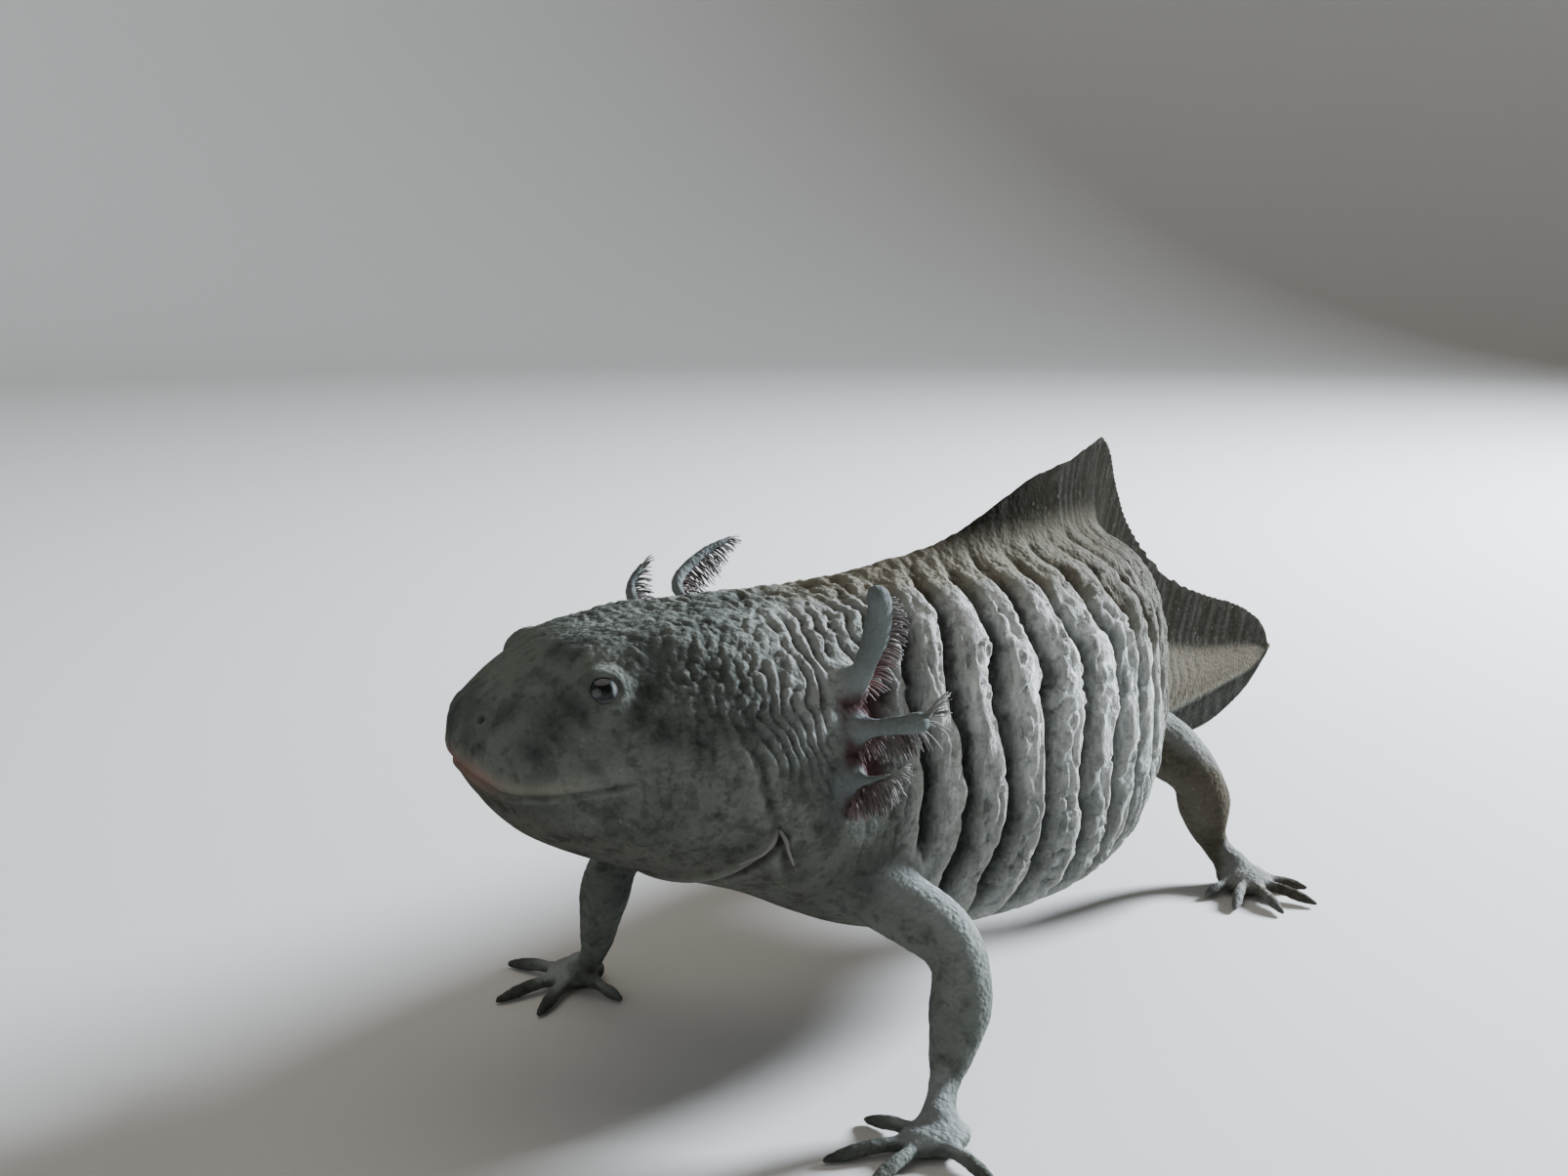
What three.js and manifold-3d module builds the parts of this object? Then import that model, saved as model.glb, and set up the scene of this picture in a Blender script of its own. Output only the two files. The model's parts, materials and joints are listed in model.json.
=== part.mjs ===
// An axolotl, life size, as a still museum model: it stands on four feet with its
// chest raised, its head turned to its right and the end of its tail laid on the floor.
// Millimetres, +Z up. The trunk runs along +X from the shoulders to the hips, and the
// origin is on the floor, at the middle of the bounding box.
import * as THREE from "three";
import { mergeVertices } from "three/addons/utils/BufferGeometryUtils.js";
import Module from "manifold-3d";

const wasm = await Module();
wasm.setup();

// ---------------------------------------------------------------- driving sizes
const TOTAL_LENGTH = 246; // snout to tail tip, along the spine
const HEAD_END = 40.5; // station where the head meets the trunk, at gill height
const HEAD_END_LEAN = 0.18; // how far that cut runs forward for each mm down
const CUT_HEIGHT = 44; // height at which HEAD_END is measured
const VENT = 134;
const GAP = 0.3; // left between solids that touch
const SPINE_STEP = 0.5;
const WHOLE = 400; // larger than the animal, for cutting blocks

// Stations of the thin cuts across the trunk and tail.
const TRUNK_CUTS = [68, 98];
const TAIL_CUTS = [166, 206];

// Direction of the spine seen from above, head to tail: [station, degrees from +X].
const HEADINGS = [
  [0, -40],
  [36, -39],
  [50, -34],
  [62, -23],
  [75, -8],
  [88, 6],
  [104, 13.5],
  [116, 13.5],
  [130, 11],
  [150, 6.5],
  [175, -1],
  [205, -9],
  [TOTAL_LENGTH, -17],
];

// The body without fins: [station, half width, back, belly, height where it is widest].
const BODY = [
  [0, 0, 42, 42, 42],
  [1.2, 6.3, 45.3, 37.2, 41.4],
  [3.5, 10.0, 47.5, 34.4, 41],
  [7, 13.0, 50.0, 31.2, 40.5],
  [13, 15.8, 52.7, 28.2, 40],
  [21, 18.0, 54.0, 25.2, 39],
  [30, 19.2, 54.7, 22.2, 38],
  [38, 17.9, 55.0, 18.2, 37],
  [46, 15.4, 55.8, 14.4, 36],
  [60, 16.0, 56.4, 12.0, 34.5],
  [80, 15.8, 56.8, 11.0, 33.5],
  [100, 14.8, 55.2, 12.0, 32.5],
  [118, 12.3, 49.6, 15.5, 31.5],
  [132, 9.2, 43.0, 19.0, 30],
  [150, 6.8, 34.5, 16.0, 25],
  [175, 5.0, 25.5, 9.5, 17.5],
  [205, 3.2, 19.0, 7.0, 13],
  [232, 1.7, 15.0, 8.0, 11.5],
  [TOTAL_LENGTH, 0, 11.5, 11.5, 11.5],
];

// Superellipse exponents of the cross-sections: the trunk has fuller shoulders above.
const ROUNDNESS = 2.25;
const ROUNDNESS_ABOVE = [[0, 2.25], [55, 2.25], [85, 2.9], [112, 2.9], [150, 2.25], [245, 2.25]];

// Fin heights beyond the body: [station, height].
const UPPER_FIN = [
  [44, -2],
  [47, 1.2],
  [50, 2.8],
  [57, 4],
  [66, 7],
  [74, 9.6],
  [84, 10.4],
  [100, 12.9],
  [125, 15],
  [160, 14.5],
  [195, 11],
  [220, 8.2],
  [236, 4.8],
  [TOTAL_LENGTH - 1, 0.8],
];
const LOWER_FIN = [
  [VENT + 2, -2],
  [150, 3.5],
  [175, 7.6],
  [200, 8.4],
  [220, 7.6],
  [236, 4.4],
  [TOTAL_LENGTH - 1, 0.8],
];
const FIN_EDGE = 0.55; // half thickness at the free edge
// Half thickness where it leaves the body, as [station, half thickness].
const FIN_ROOT = [[44, 1.8], [75, 3.6], [100, 4.4], [115, 4.2], [150, 2.4], [200, 1.5], [245, 0.9]];
const FIN_DEPTH = 4; // how far the blade starts inside the body
const FIN_LEAN = 6.5; // how far the tallest part leans to the animal's left

// The mouth: a level cut from the snout to the corner of the jaw.
const MOUTH_HEIGHT = 37.9;
const MOUTH_RISE = 0.03; // how much the line climbs for each mm back
const JAW_CORNER = 14.8;

const EYE = { station: 12.7, out: 11.9, height: 47.9, radius: 2.3 };

// ------------------------------------------------------------------ small tools
// A smooth curve through one column of a table, which doesn't overshoot its rows.
function through(rows, column = 1) {
  const x = rows.map((row) => row[0]);
  const y = rows.map((row) => row[column]);
  const rise = x.slice(1).map((next, i) => (y[i + 1] - y[i]) / (next - x[i]));
  const slope = x.map((_, i) => {
    if (i === 0) return rise[0];
    if (i === x.length - 1) return rise[i - 1];
    const product = rise[i - 1] * rise[i];
    return product <= 0 ? 0 : (2 * product) / (rise[i - 1] + rise[i]);
  });
  return (at) => {
    const s = THREE.MathUtils.clamp(at, x[0], x[x.length - 1]);
    let i = 0;
    while (i < x.length - 2 && s > x[i + 1]) i += 1;
    const width = x[i + 1] - x[i];
    const t = (s - x[i]) / width;
    const a = y[i] * (1 + 2 * t) * (1 - t) ** 2 + y[i + 1] * t * t * (3 - 2 * t);
    return a + width * (slope[i] * t * (1 - t) ** 2 + slope[i + 1] * t * t * (t - 1));
  };
}

const radians = THREE.MathUtils.degToRad;
const power = (value, exponent) => Math.sign(value) * Math.abs(value) ** exponent;

// A closed solid: a ball whose every point is moved to place(share along, angle round).
function ball(around, along, place) {
  const geometry = new THREE.SphereGeometry(1, around, along);
  const position = geometry.getAttribute("position");
  for (let ring = 0; ring <= along; ring += 1) {
    for (let side = 0; side <= around; side += 1) {
      const angle = (2 * Math.PI * (side % around)) / around;
      const point = place(ring / along, angle);
      position.setXYZ(ring * (around + 1) + side, point.x, point.y, point.z);
    }
  }
  return solidOf(geometry);
}

// Only the positions are kept, so that corners which meet become one.
function solidOf(geometry) {
  geometry.deleteAttribute("normal");
  geometry.deleteAttribute("uv");
  const merged = mergeVertices(geometry, 1e-4);
  return new wasm.Manifold(
    new wasm.Mesh({
      numProp: 3,
      vertProperties: merged.getAttribute("position").array,
      triVerts: new Uint32Array(merged.index.array),
    }),
  );
}

// What is left of a solid on the far side of a plane through a point.
function beyond(solid, point, normal, clearance = GAP / 2) {
  const n = normal.clone().normalize();
  return solid.trimByPlane([n.x, n.y, n.z], n.dot(point) + clearance);
}

function aboveFloor(solid) {
  return solid.trimByPlane([0, 0, 1], 0);
}

// ---------------------------------------------------------------- the spine line
const heading = through(HEADINGS);
const spine = [new THREE.Vector2(0, 0)];
for (let s = SPINE_STEP; s <= TOTAL_LENGTH; s += SPINE_STEP) {
  const turn = radians(heading(s - SPINE_STEP / 2));
  const step = new THREE.Vector2(Math.cos(turn), Math.sin(turn)).multiplyScalar(SPINE_STEP);
  spine.push(spine[spine.length - 1].clone().add(step));
}

// The point at a station, a distance to the animal's left and a height.
function at(station, left, height) {
  const place = THREE.MathUtils.clamp(station, 0, TOTAL_LENGTH) / SPINE_STEP;
  const i = Math.min(Math.floor(place), spine.length - 2);
  const centre = spine[i].clone().lerp(spine[i + 1], place - i);
  const turn = radians(heading(station));
  return new THREE.Vector3(
    centre.x + left * Math.sin(turn),
    centre.y - left * Math.cos(turn),
    height,
  );
}

// The direction of the spine at a station, towards the tail.
function tailward(station) {
  const turn = radians(heading(station));
  return new THREE.Vector3(Math.cos(turn), Math.sin(turn), 0);
}

// ----------------------------------------------------------------- body and fins
const halfWidth = through(BODY, 1);
const back = through(BODY, 2);
const belly = through(BODY, 3);
const widest = through(BODY, 4);
const roundnessAbove = through(ROUNDNESS_ABOVE);

function bodyPoint(station, angle, grow) {
  const roundness = angle > 0 && angle < Math.PI ? roundnessAbove(station) : ROUNDNESS;
  const across = power(Math.cos(angle), 2 / roundness);
  const up = power(Math.sin(angle), 2 / roundness);
  const middle = widest(station);
  const reach = up > 0 ? back(station) - middle : middle - belly(station);
  const left = across * (halfWidth(station) + grow);
  return at(station, left, middle + up * (reach + grow));
}

// Rings lie closest at the snout and are widest apart on the tail.
const BODY_RINGS = 49;
const BODY_SIDES = 20;
const ringStation = through([
  [0, 0],
  [0.1, 4],
  [0.3, 28],
  [0.7, 130],
  [1, TOTAL_LENGTH],
]);

function body(grow = 0) {
  return ball(BODY_SIDES, BODY_RINGS, (share, angle) => {
    const station = ringStation(share);
    return bodyPoint(station, angle, share === 0 || share === 1 ? 0 : grow);
  });
}

// A blade that stands on the body's edge and thins towards its own.
function fin(table, side, rings) {
  const height = through(table);
  const root = through(FIN_ROOT);
  const first = table[0][0];
  const last = table[table.length - 1][0];
  const edge = side > 0 ? back : belly;
  const tallest = Math.max(...table.map((row) => row[1]));
  return ball(6, rings, (share, angle) => {
    const station = THREE.MathUtils.lerp(first, last, share);
    const ends = share === 0 || share === 1 ? 0 : 1;
    const rise = (Math.sin(angle) + 1) / 2;
    const depth = Math.min(FIN_DEPTH, Math.abs(edge(station) - widest(station)) - GAP / 2);
    const full = height(station) + depth;
    const lean = side > 0 ? (FIN_LEAN * rise * Math.max(0, height(station))) / tallest : 0;
    const thick = THREE.MathUtils.lerp(FIN_EDGE, root(station), (1 - rise) ** 1.4);
    const left = (Math.cos(angle) * thick + lean) * ends;
    return at(station, left * side, edge(station) + side * (rise * full * ends - depth));
  });
}

// ---------------------------------------------------------------- limbs and toes
// A tapering round bar along a smooth curve through some points, with rounded ends.
function bar(points, radii, around, along) {
  const line = new THREE.CatmullRomCurve3(points, false, "centripetal");
  const length = line.getLength();
  const radius = through(radii);
  const reference = new THREE.Vector3(0, 0, 1);
  const chord = points[points.length - 1].clone().sub(points[0]).normalize();
  if (Math.abs(chord.z) > 0.8) reference.set(1, 0, 0);
  return ball(around, along, (share, angle) => {
    const t = (1 - Math.cos(Math.PI * share)) / 2;
    const toEnd = Math.min(t, 1 - t) * length;
    const cap = radius(t < 0.5 ? 0 : 1);
    const round = Math.sqrt(Math.max(0, 1 - Math.max(0, 1 - toEnd / cap) ** 2));
    const tangent = line.getTangentAt(t);
    const u = tangent.clone().cross(reference).normalize();
    const v = u.clone().cross(tangent);
    const r = radius(t) * round;
    return line
      .getPointAt(t)
      .addScaledVector(u, r * Math.cos(angle))
      .addScaledVector(v, r * Math.sin(angle));
  });
}

// A flattened palm with toes that fan out from it, cut flat where it meets the floor.
const SINK = 0.5; // how far palm and toes are set into the floor before the cut
function foot(wrist, palm, pointing, toes, size) {
  const pad = new THREE.SphereGeometry(1, 10, 6);
  pad.rotateX(Math.PI / 2);
  pad.scale(size * 1.25, size, size * 0.55);
  pad.rotateZ(radians(pointing));
  pad.translate(palm.x, palm.y, size * 0.55 - SINK);
  let made = solidOf(pad);
  const above = new THREE.Vector3(palm.x, palm.y, size * 0.5);
  made = made.add(bar([wrist, above], [[0, size * 0.6], [1, size * 0.5]], 7, 4));
  for (const [turn, length] of toes) {
    const a = radians(pointing + turn);
    const way = new THREE.Vector3(Math.cos(a), Math.sin(a), 0);
    const start = palm.clone().addScaledVector(way, size * 0.45);
    start.z = size * 0.34;
    const knuckle = palm.clone().addScaledVector(way, length * 0.55);
    knuckle.z = size * 0.36;
    const tip = palm.clone().addScaledVector(way, length);
    tip.z = 0.35;
    made = made.add(bar([start, knuckle, tip], [[0, size * 0.3], [0.5, size * 0.24], [1, 0.5]], 5, 5));
  }
  return aboveFloor(made);
}

// Joints are given from the girdle's station: [forward, outward, height].
const FRONT_STATION = 42;
const HIND_STATION = 121;
const FRONT_TOES = [[-79, 10.2], [-21, 13], [14, 12.5], [84, 11.5]];
const HIND_TOES = [[-72, 9], [-36, 12], [-4, 13.5], [28, 13], [64, 10]];
const LIMBS = [
  {
    name: "front_left", upper: "upper_arm", lower: "forearm", station: FRONT_STATION, side: 1,
    joints: [[0, 10, 24], [-6.5, 22.5, 17.5], [-2, 27, 4.2]], palm: [1, 30.5], pointing: 10,
    toes: FRONT_TOES, thickness: [4.0, 3.4, 2.6, 2.1], size: 3.6,
  },
  {
    name: "front_right", upper: "upper_arm", lower: "forearm", station: FRONT_STATION, side: -1,
    joints: [[2, 10, 24], [14, 22, 19.5], [17, 26.5, 4.2]], palm: [17, 31], pointing: -26,
    toes: FRONT_TOES, thickness: [4.0, 3.1, 2.3, 2.0], size: 3.6,
  },
  {
    name: "hind_left", upper: "thigh", lower: "shin", station: HIND_STATION, side: 1,
    joints: [[0, 6, 25], [6, 19, 18.5], [-1, 23.5, 4.4]], palm: [2.5, 27], pointing: 30,
    toes: HIND_TOES, thickness: [4.8, 3.8, 3.0, 2.4], size: 4,
  },
  {
    name: "hind_right", upper: "thigh", lower: "shin", station: HIND_STATION, side: -1,
    joints: [[0, 6, 25], [4, 19, 18.5], [-6, 22, 4.4]], palm: [-3, 26], pointing: 45,
    toes: HIND_TOES, thickness: [4.8, 3.8, 3.0, 2.4], size: 4,
  },
];

function limb(recipe, clearOf) {
  const { station, side, joints, thickness } = recipe;
  const forward = tailward(station).negate();
  const place = ([ahead, out, height]) =>
    at(station, side * out, height).addScaledVector(forward, ahead);
  const [root, elbow, wrist] = joints.map(place);
  const palm = place([...recipe.palm, 0]);
  // Pointing is measured from straight ahead, outwards.
  const ahead = THREE.MathUtils.radToDeg(Math.atan2(forward.y, forward.x));
  const pointing = ahead + side * recipe.pointing;
  const toes = recipe.toes.map(([turn, length]) => [side * turn, length]);
  const sole = foot(wrist, palm, pointing, toes, recipe.size);
  const radii = thickness.map((radius, i) => [i / (thickness.length - 1), radius]);
  const arm = bar([root, elbow, wrist], radii, 10, 12).subtract(clearOf);
  const bend = wrist.clone().sub(elbow).normalize().add(elbow.clone().sub(root).normalize());
  const down = wrist.clone().sub(elbow);
  const upper = beyond(arm, elbow, bend.clone().negate());
  const lower = beyond(beyond(arm, elbow, bend), wrist, down.clone().negate());
  return [
    [recipe.name + "_" + recipe.upper, upper],
    [recipe.name + "_" + recipe.lower, lower],
    [recipe.name + "_foot", beyond(sole, wrist, down)],
  ];
}

// ------------------------------------------------------------------------- gills
// Each gill's line on either side of the head, from its root: [backward, outward, upward].
// `stalk` is its radius on the left and on the right.
const GILL_ROOT_OUT = 15.5;
const GILLS = [
  {
    name: "upper", station: 39.5, height: 47.3, stalk: [1.6, 1.0],
    left: [[-0.1, 3.2, 3.6], [-0.4, 5.8, 7], [-1.1, 7.6, 10.2], [-2.3, 8.2, 12]],
    right: [[-2.6, 4.5, 1.9], [-3.3, 8.5, 4.4], [0.9, 11, 7.4], [6.1, 12, 9.4]],
  },
  {
    name: "middle", station: 38.2, height: 42.6, stalk: [1.6, 1.1],
    left: [[1.7, 3, 0.4], [3.4, 5.2, 1], [5.3, 6.6, 1.4], [6.7, 7.4, 1.8]],
    right: [[-2.7, 5, 2.3], [-5.8, 10, 5.2], [-6.2, 13.5, 8.2], [-3.5, 15, 11.3]],
  },
  {
    name: "lower", station: 37.8, height: 36.4, stalk: [1.35, 1.1],
    left: [[0.6, 2.6, 0.8], [1.7, 4.6, 1.4], [2.8, 6, 2.1], [3.9, 6.8, 2.8]],
    right: [[-0.5, 4, 0.9], [1.5, 8, 1.4], [3.7, 10.5, 2.6], [6.8, 12, 4.5]],
  },
];
const FILAMENTS = 4; // on each edge of a gill, as stout stand-ins for the fine ones
const FILAMENT_LENGTH = 6.5;
const FILAMENT_SPAN = [0.36, 0.94]; // the share of the stalk that carries them

function gill(recipe, side, clearOf) {
  const backward = tailward(recipe.station);
  const reach = ([behind, outward, upward]) =>
    at(recipe.station, side * (GILL_ROOT_OUT + outward), recipe.height + upward)
      .addScaledVector(backward, behind);
  const points = [[0, 0, 0], ...(side > 0 ? recipe.left : recipe.right)].map(reach);
  const line = new THREE.CatmullRomCurve3(points, false, "centripetal");
  const stalk = recipe.stalk[side > 0 ? 0 : 1];
  const thickness = [[0, stalk * 1.15], [0.6, stalk * 0.9], [1, stalk * 0.5]];
  let made = bar(points, thickness, 7, 8);
  const hang = backward.clone().multiplyScalar(0.8).add(new THREE.Vector3(0, 0, -0.6));
  for (let i = 0; i < FILAMENTS; i += 1) {
    for (const edge of [-1, 1]) {
      const t = THREE.MathUtils.lerp(...FILAMENT_SPAN, i / (FILAMENTS - 1));
      const along = line.getTangentAt(t);
      const across = along.clone().cross(hang).normalize();
      const way = hang.clone().addScaledVector(across, edge * 0.4).addScaledVector(along, 0.4);
      const length = FILAMENT_LENGTH * (1 - 0.4 * t);
      const start = line.getPointAt(t);
      const end = start.clone().addScaledVector(way.normalize(), length);
      made = made.add(bar([start, end], [[0, 0.7], [1, 0.7]], 4, 2));
    }
  }
  return made.subtract(clearOf);
}

// --------------------------------------------------------------- parting the body
const trunkLine = new THREE.Vector3(0, 0, 1);
function headPlane() {
  const normal = tailward(HEAD_END).addScaledVector(trunkLine, -HEAD_END_LEAN);
  return [at(HEAD_END, 0, CUT_HEIGHT), normal];
}

function crossPlane(station) {
  return [at(station, 0, 0), tailward(station)];
}

// The stretch of a solid between two planes, with half a gap left at each.
function between(solid, from, to) {
  let made = solid;
  if (from) made = beyond(made, from[0], from[1]);
  if (to) made = beyond(made, to[0], to[1].clone().negate());
  return made;
}

function jawBlock(grow) {
  const block = new THREE.BoxGeometry(WHOLE, WHOLE, WHOLE);
  block.translate(-WHOLE / 2 + grow, 0, -WHOLE / 2 + grow);
  block.rotateY(-Math.atan(MOUTH_RISE));
  block.rotateZ(radians(heading(JAW_CORNER)));
  const corner = at(JAW_CORNER, 0, MOUTH_HEIGHT + MOUTH_RISE * JAW_CORNER);
  block.translate(corner.x, corner.y, corner.z);
  return solidOf(block);
}

function eyeball(side, radius) {
  const centre = at(EYE.station, side * EYE.out, EYE.height);
  return ball(10, 7, (share, angle) => {
    const tilt = Math.PI * share;
    return new THREE.Vector3(
      centre.x + radius * Math.sin(tilt) * Math.cos(angle),
      centre.y + radius * Math.sin(tilt) * Math.sin(angle),
      centre.z + radius * Math.cos(tilt),
    );
  });
}

// ------------------------------------------------------------------------ assembly
const skin = new THREE.MeshStandardMaterial({ color: 0x5d564c, roughness: 0.5, metalness: 0 });
const finSkin = new THREE.MeshStandardMaterial({ color: 0x655b50, roughness: 0.5, metalness: 0 });
const gillSkin = new THREE.MeshStandardMaterial({ color: 0x6b4a48, roughness: 0.45, metalness: 0 });
const eyeGlass = new THREE.MeshStandardMaterial({ color: 0x14181b, roughness: 0.1, metalness: 0 });

const animal = new THREE.Group();
function show(name, solid, material) {
  const mesh = solid.getMesh();
  const geometry = new THREE.BufferGeometry();
  geometry.setAttribute("position", new THREE.BufferAttribute(mesh.vertProperties, 3));
  geometry.setIndex(new THREE.BufferAttribute(mesh.triVerts, 1));
  const flat = geometry.toNonIndexed();
  flat.computeVertexNormals();
  const shown = new THREE.Mesh(flat, material);
  shown.name = name;
  animal.add(shown);
}

const whole = body();
const clear = body(GAP);

const cuts = [headPlane(), ...TRUNK_CUTS.map(crossPlane), crossPlane(VENT), ...TAIL_CUTS.map(crossPlane)];
const lengths = ["trunk_front", "trunk_middle", "trunk_rear", "tail_base", "tail_middle", "tail_tip"];
lengths.forEach((name, i) => {
  show(name, aboveFloor(between(whole, cuts[i], cuts[i + 1])), skin);
});

let skull = between(whole, null, cuts[0]);
for (const side of [-1, 1]) skull = skull.subtract(eyeball(side, EYE.radius + GAP));
show("lower_jaw", skull.intersect(jawBlock(-GAP)), skin);
show("head", skull.subtract(jawBlock(0)), skin);
show("eye_left", eyeball(1, EYE.radius), eyeGlass);
show("eye_right", eyeball(-1, EYE.radius), eyeGlass);

const upperFin = fin(UPPER_FIN, 1, 28).subtract(clear);
const lowerFin = aboveFloor(fin(LOWER_FIN, -1, 17).subtract(clear));
show("dorsal_fin", between(upperFin, null, crossPlane(VENT)), finSkin);
show("tail_fin_upper", between(upperFin, crossPlane(VENT), null), finSkin);
show("tail_fin_lower", lowerFin, finSkin);

for (const side of [-1, 1]) {
  const hand = side > 0 ? "left" : "right";
  for (const recipe of GILLS) {
    const made = gill(recipe, side, clear);
    show("gill_" + hand + "_" + recipe.name, made, gillSkin);
  }
}

for (const recipe of LIMBS) {
  for (const [name, solid] of limb(recipe, clear)) show(name, solid, skin);
}

// The origin goes to the floor under the middle of the animal.
const box = new THREE.Box3().setFromObject(animal);
animal.position.set(-(box.min.x + box.max.x) / 2, -(box.min.y + box.max.y) / 2, 0);

export default animal;
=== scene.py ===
# %% [markdown]
# # An axolotl in its wild colours
#
# The animal stands on all its feet, chest raised, with its head turned to its right.
# Its body is soft and smooth-skinned, so it has no seams: one skin has to run from the
# snout to the tail tip and down every leg. Only the eyes and the fine filaments of the
# gills are separate pieces. This lesson makes the rough forms first, fuses them into one
# skin, and then presses the folds into it.

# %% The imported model
import math

import bmesh
import bpy
import numpy as np
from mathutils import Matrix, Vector, noise
from mathutils.kdtree import KDTree
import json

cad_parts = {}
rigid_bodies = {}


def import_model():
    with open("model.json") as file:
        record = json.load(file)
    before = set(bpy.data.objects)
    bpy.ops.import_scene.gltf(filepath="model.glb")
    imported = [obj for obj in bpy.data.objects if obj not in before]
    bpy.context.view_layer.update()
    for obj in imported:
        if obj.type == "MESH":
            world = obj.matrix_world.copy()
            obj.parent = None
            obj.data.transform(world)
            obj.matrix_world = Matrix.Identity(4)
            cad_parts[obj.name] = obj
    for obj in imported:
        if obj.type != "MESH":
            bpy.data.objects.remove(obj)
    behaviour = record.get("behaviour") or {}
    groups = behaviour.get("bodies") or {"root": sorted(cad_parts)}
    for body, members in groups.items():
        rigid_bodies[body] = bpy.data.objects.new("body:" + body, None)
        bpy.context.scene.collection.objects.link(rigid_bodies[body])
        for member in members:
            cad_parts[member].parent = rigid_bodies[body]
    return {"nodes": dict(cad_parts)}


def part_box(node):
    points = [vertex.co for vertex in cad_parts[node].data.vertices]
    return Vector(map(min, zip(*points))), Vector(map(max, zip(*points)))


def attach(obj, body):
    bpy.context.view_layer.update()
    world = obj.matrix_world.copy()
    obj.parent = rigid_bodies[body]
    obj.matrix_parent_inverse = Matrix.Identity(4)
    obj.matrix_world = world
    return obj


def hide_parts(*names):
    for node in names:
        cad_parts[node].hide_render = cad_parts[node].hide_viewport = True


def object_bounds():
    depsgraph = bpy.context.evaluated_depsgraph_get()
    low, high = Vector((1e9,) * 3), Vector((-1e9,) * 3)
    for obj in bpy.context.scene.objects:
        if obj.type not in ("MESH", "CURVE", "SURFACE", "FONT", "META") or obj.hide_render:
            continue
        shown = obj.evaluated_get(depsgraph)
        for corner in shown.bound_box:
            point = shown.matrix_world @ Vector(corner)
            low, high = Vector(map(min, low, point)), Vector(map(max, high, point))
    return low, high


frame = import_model()
cad_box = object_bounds()
MM = 0.001
print("CAD box, mm:", [[round(v / MM, 1) for v in corner] for corner in cad_box])

# %% [markdown]
# ## The spine and the cross-sections
#
# A long bent body is easiest to describe along its own spine. Each place on it has a
# station (the distance from the snout), a distance to the animal's left and a height.
# A few rows give the width, the back and the belly at some stations, and a smooth curve
# fills in the rest. Working this way lets every fold be stated in the body's own terms.

# %% Body tables, in millimetres
TOTAL_LENGTH = 246
VENT = 134

# [station, direction of the spine from above, in degrees]
HEADINGS = [
    [0, -40], [36, -39], [50, -34], [62, -23], [75, -8], [88, 6], [104, 13.5],
    [116, 13.5], [130, 11], [150, 6.5], [175, -1], [205, -9], [TOTAL_LENGTH, -17],
]

# [station, half width, back, belly, height where it is widest]
BODY = [
    [0, 0, 42, 42, 42],
    [1.2, 6.3, 45.3, 37.2, 41.4],
    [3.5, 10.0, 47.5, 34.4, 41],
    [7, 13.0, 50.0, 31.2, 40.5],
    [13, 15.8, 52.7, 28.2, 40],
    [21, 18.0, 54.0, 25.2, 39],
    [30, 19.2, 54.7, 22.2, 38],
    [38, 17.9, 55.0, 18.2, 37],
    [46, 15.4, 55.8, 14.4, 36],
    [60, 16.0, 56.4, 12.0, 34.5],
    [80, 15.8, 56.8, 11.0, 33.5],
    [100, 14.8, 55.2, 12.0, 32.5],
    [118, 12.3, 49.6, 15.5, 31.5],
    [132, 9.2, 43.0, 19.0, 30],
    [150, 6.8, 34.5, 16.0, 25],
    [175, 5.0, 25.5, 9.5, 17.5],
    [205, 3.2, 19.0, 7.0, 13],
    [232, 1.7, 15.0, 8.0, 11.5],
    [TOTAL_LENGTH, 0, 11.5, 11.5, 11.5],
]

# How square the sections are: 2 is an ellipse. The trunk has fuller shoulders above.
ROUNDNESS = 2.25
ROUNDNESS_ABOVE = [
    [0, 2.25], [55, 2.25], [85, 2.9], [112, 2.9], [150, 2.25], [TOTAL_LENGTH, 2.25],
]

# [station, height beyond the back] and [station, depth beyond the belly]
UPPER_FIN = [
    [37, -2], [44, 1.2], [50, 2.8], [57, 4.0], [66, 7.0], [74, 9.6], [84, 10.4],
    [100, 12.9], [125, 15], [160, 14.5], [195, 11], [220, 8.2], [236, 4.8],
    [TOTAL_LENGTH - 1, 0.6],
]
LOWER_FIN = [
    [VENT + 2, -2], [150, 3.5], [175, 7.6], [200, 8.4], [220, 7.6], [236, 4.4],
    [TOTAL_LENGTH - 1, 0.6],
]
FIN_LEAN = 6.5  # how far the tallest part hangs to one side
FIN_DEPTH = 4  # how far the fin's foot goes into the body
print("Rows in the body's table:", len(BODY))


# %% Smooth curves through the tables
def cubic(t, wide, start, end, slope_in, slope_out):
    """A smooth step from start to end over a width, with a slope at each end."""
    straight = start * (1 + 2 * t) * (1 - t) ** 2 + end * t * t * (3 - 2 * t)
    bend = slope_in * t * (1 - t) ** 2 + slope_out * t * t * (t - 1)
    return straight + wide * bend


def through(rows, column=1):
    """A smooth curve through one column of a table, which doesn't overshoot its rows."""
    x = np.array([row[0] for row in rows], float)
    y = np.array([row[column] for row in rows], float)
    rise = np.diff(y) / np.diff(x)
    slope = np.concatenate([rise[:1], np.zeros(len(x) - 2), rise[-1:]])
    for i in range(1, len(x) - 1):
        if rise[i - 1] * rise[i] > 0:
            slope[i] = 2 * rise[i - 1] * rise[i] / (rise[i - 1] + rise[i])

    def value(at_x):
        s = np.clip(np.asarray(at_x, float), x[0], x[-1])
        i = np.clip(np.searchsorted(x, s, side="right") - 1, 0, len(x) - 2)
        wide = x[i + 1] - x[i]
        return cubic((s - x[i]) / wide, wide, y[i], y[i + 1], slope[i], slope[i + 1])

    return value


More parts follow.
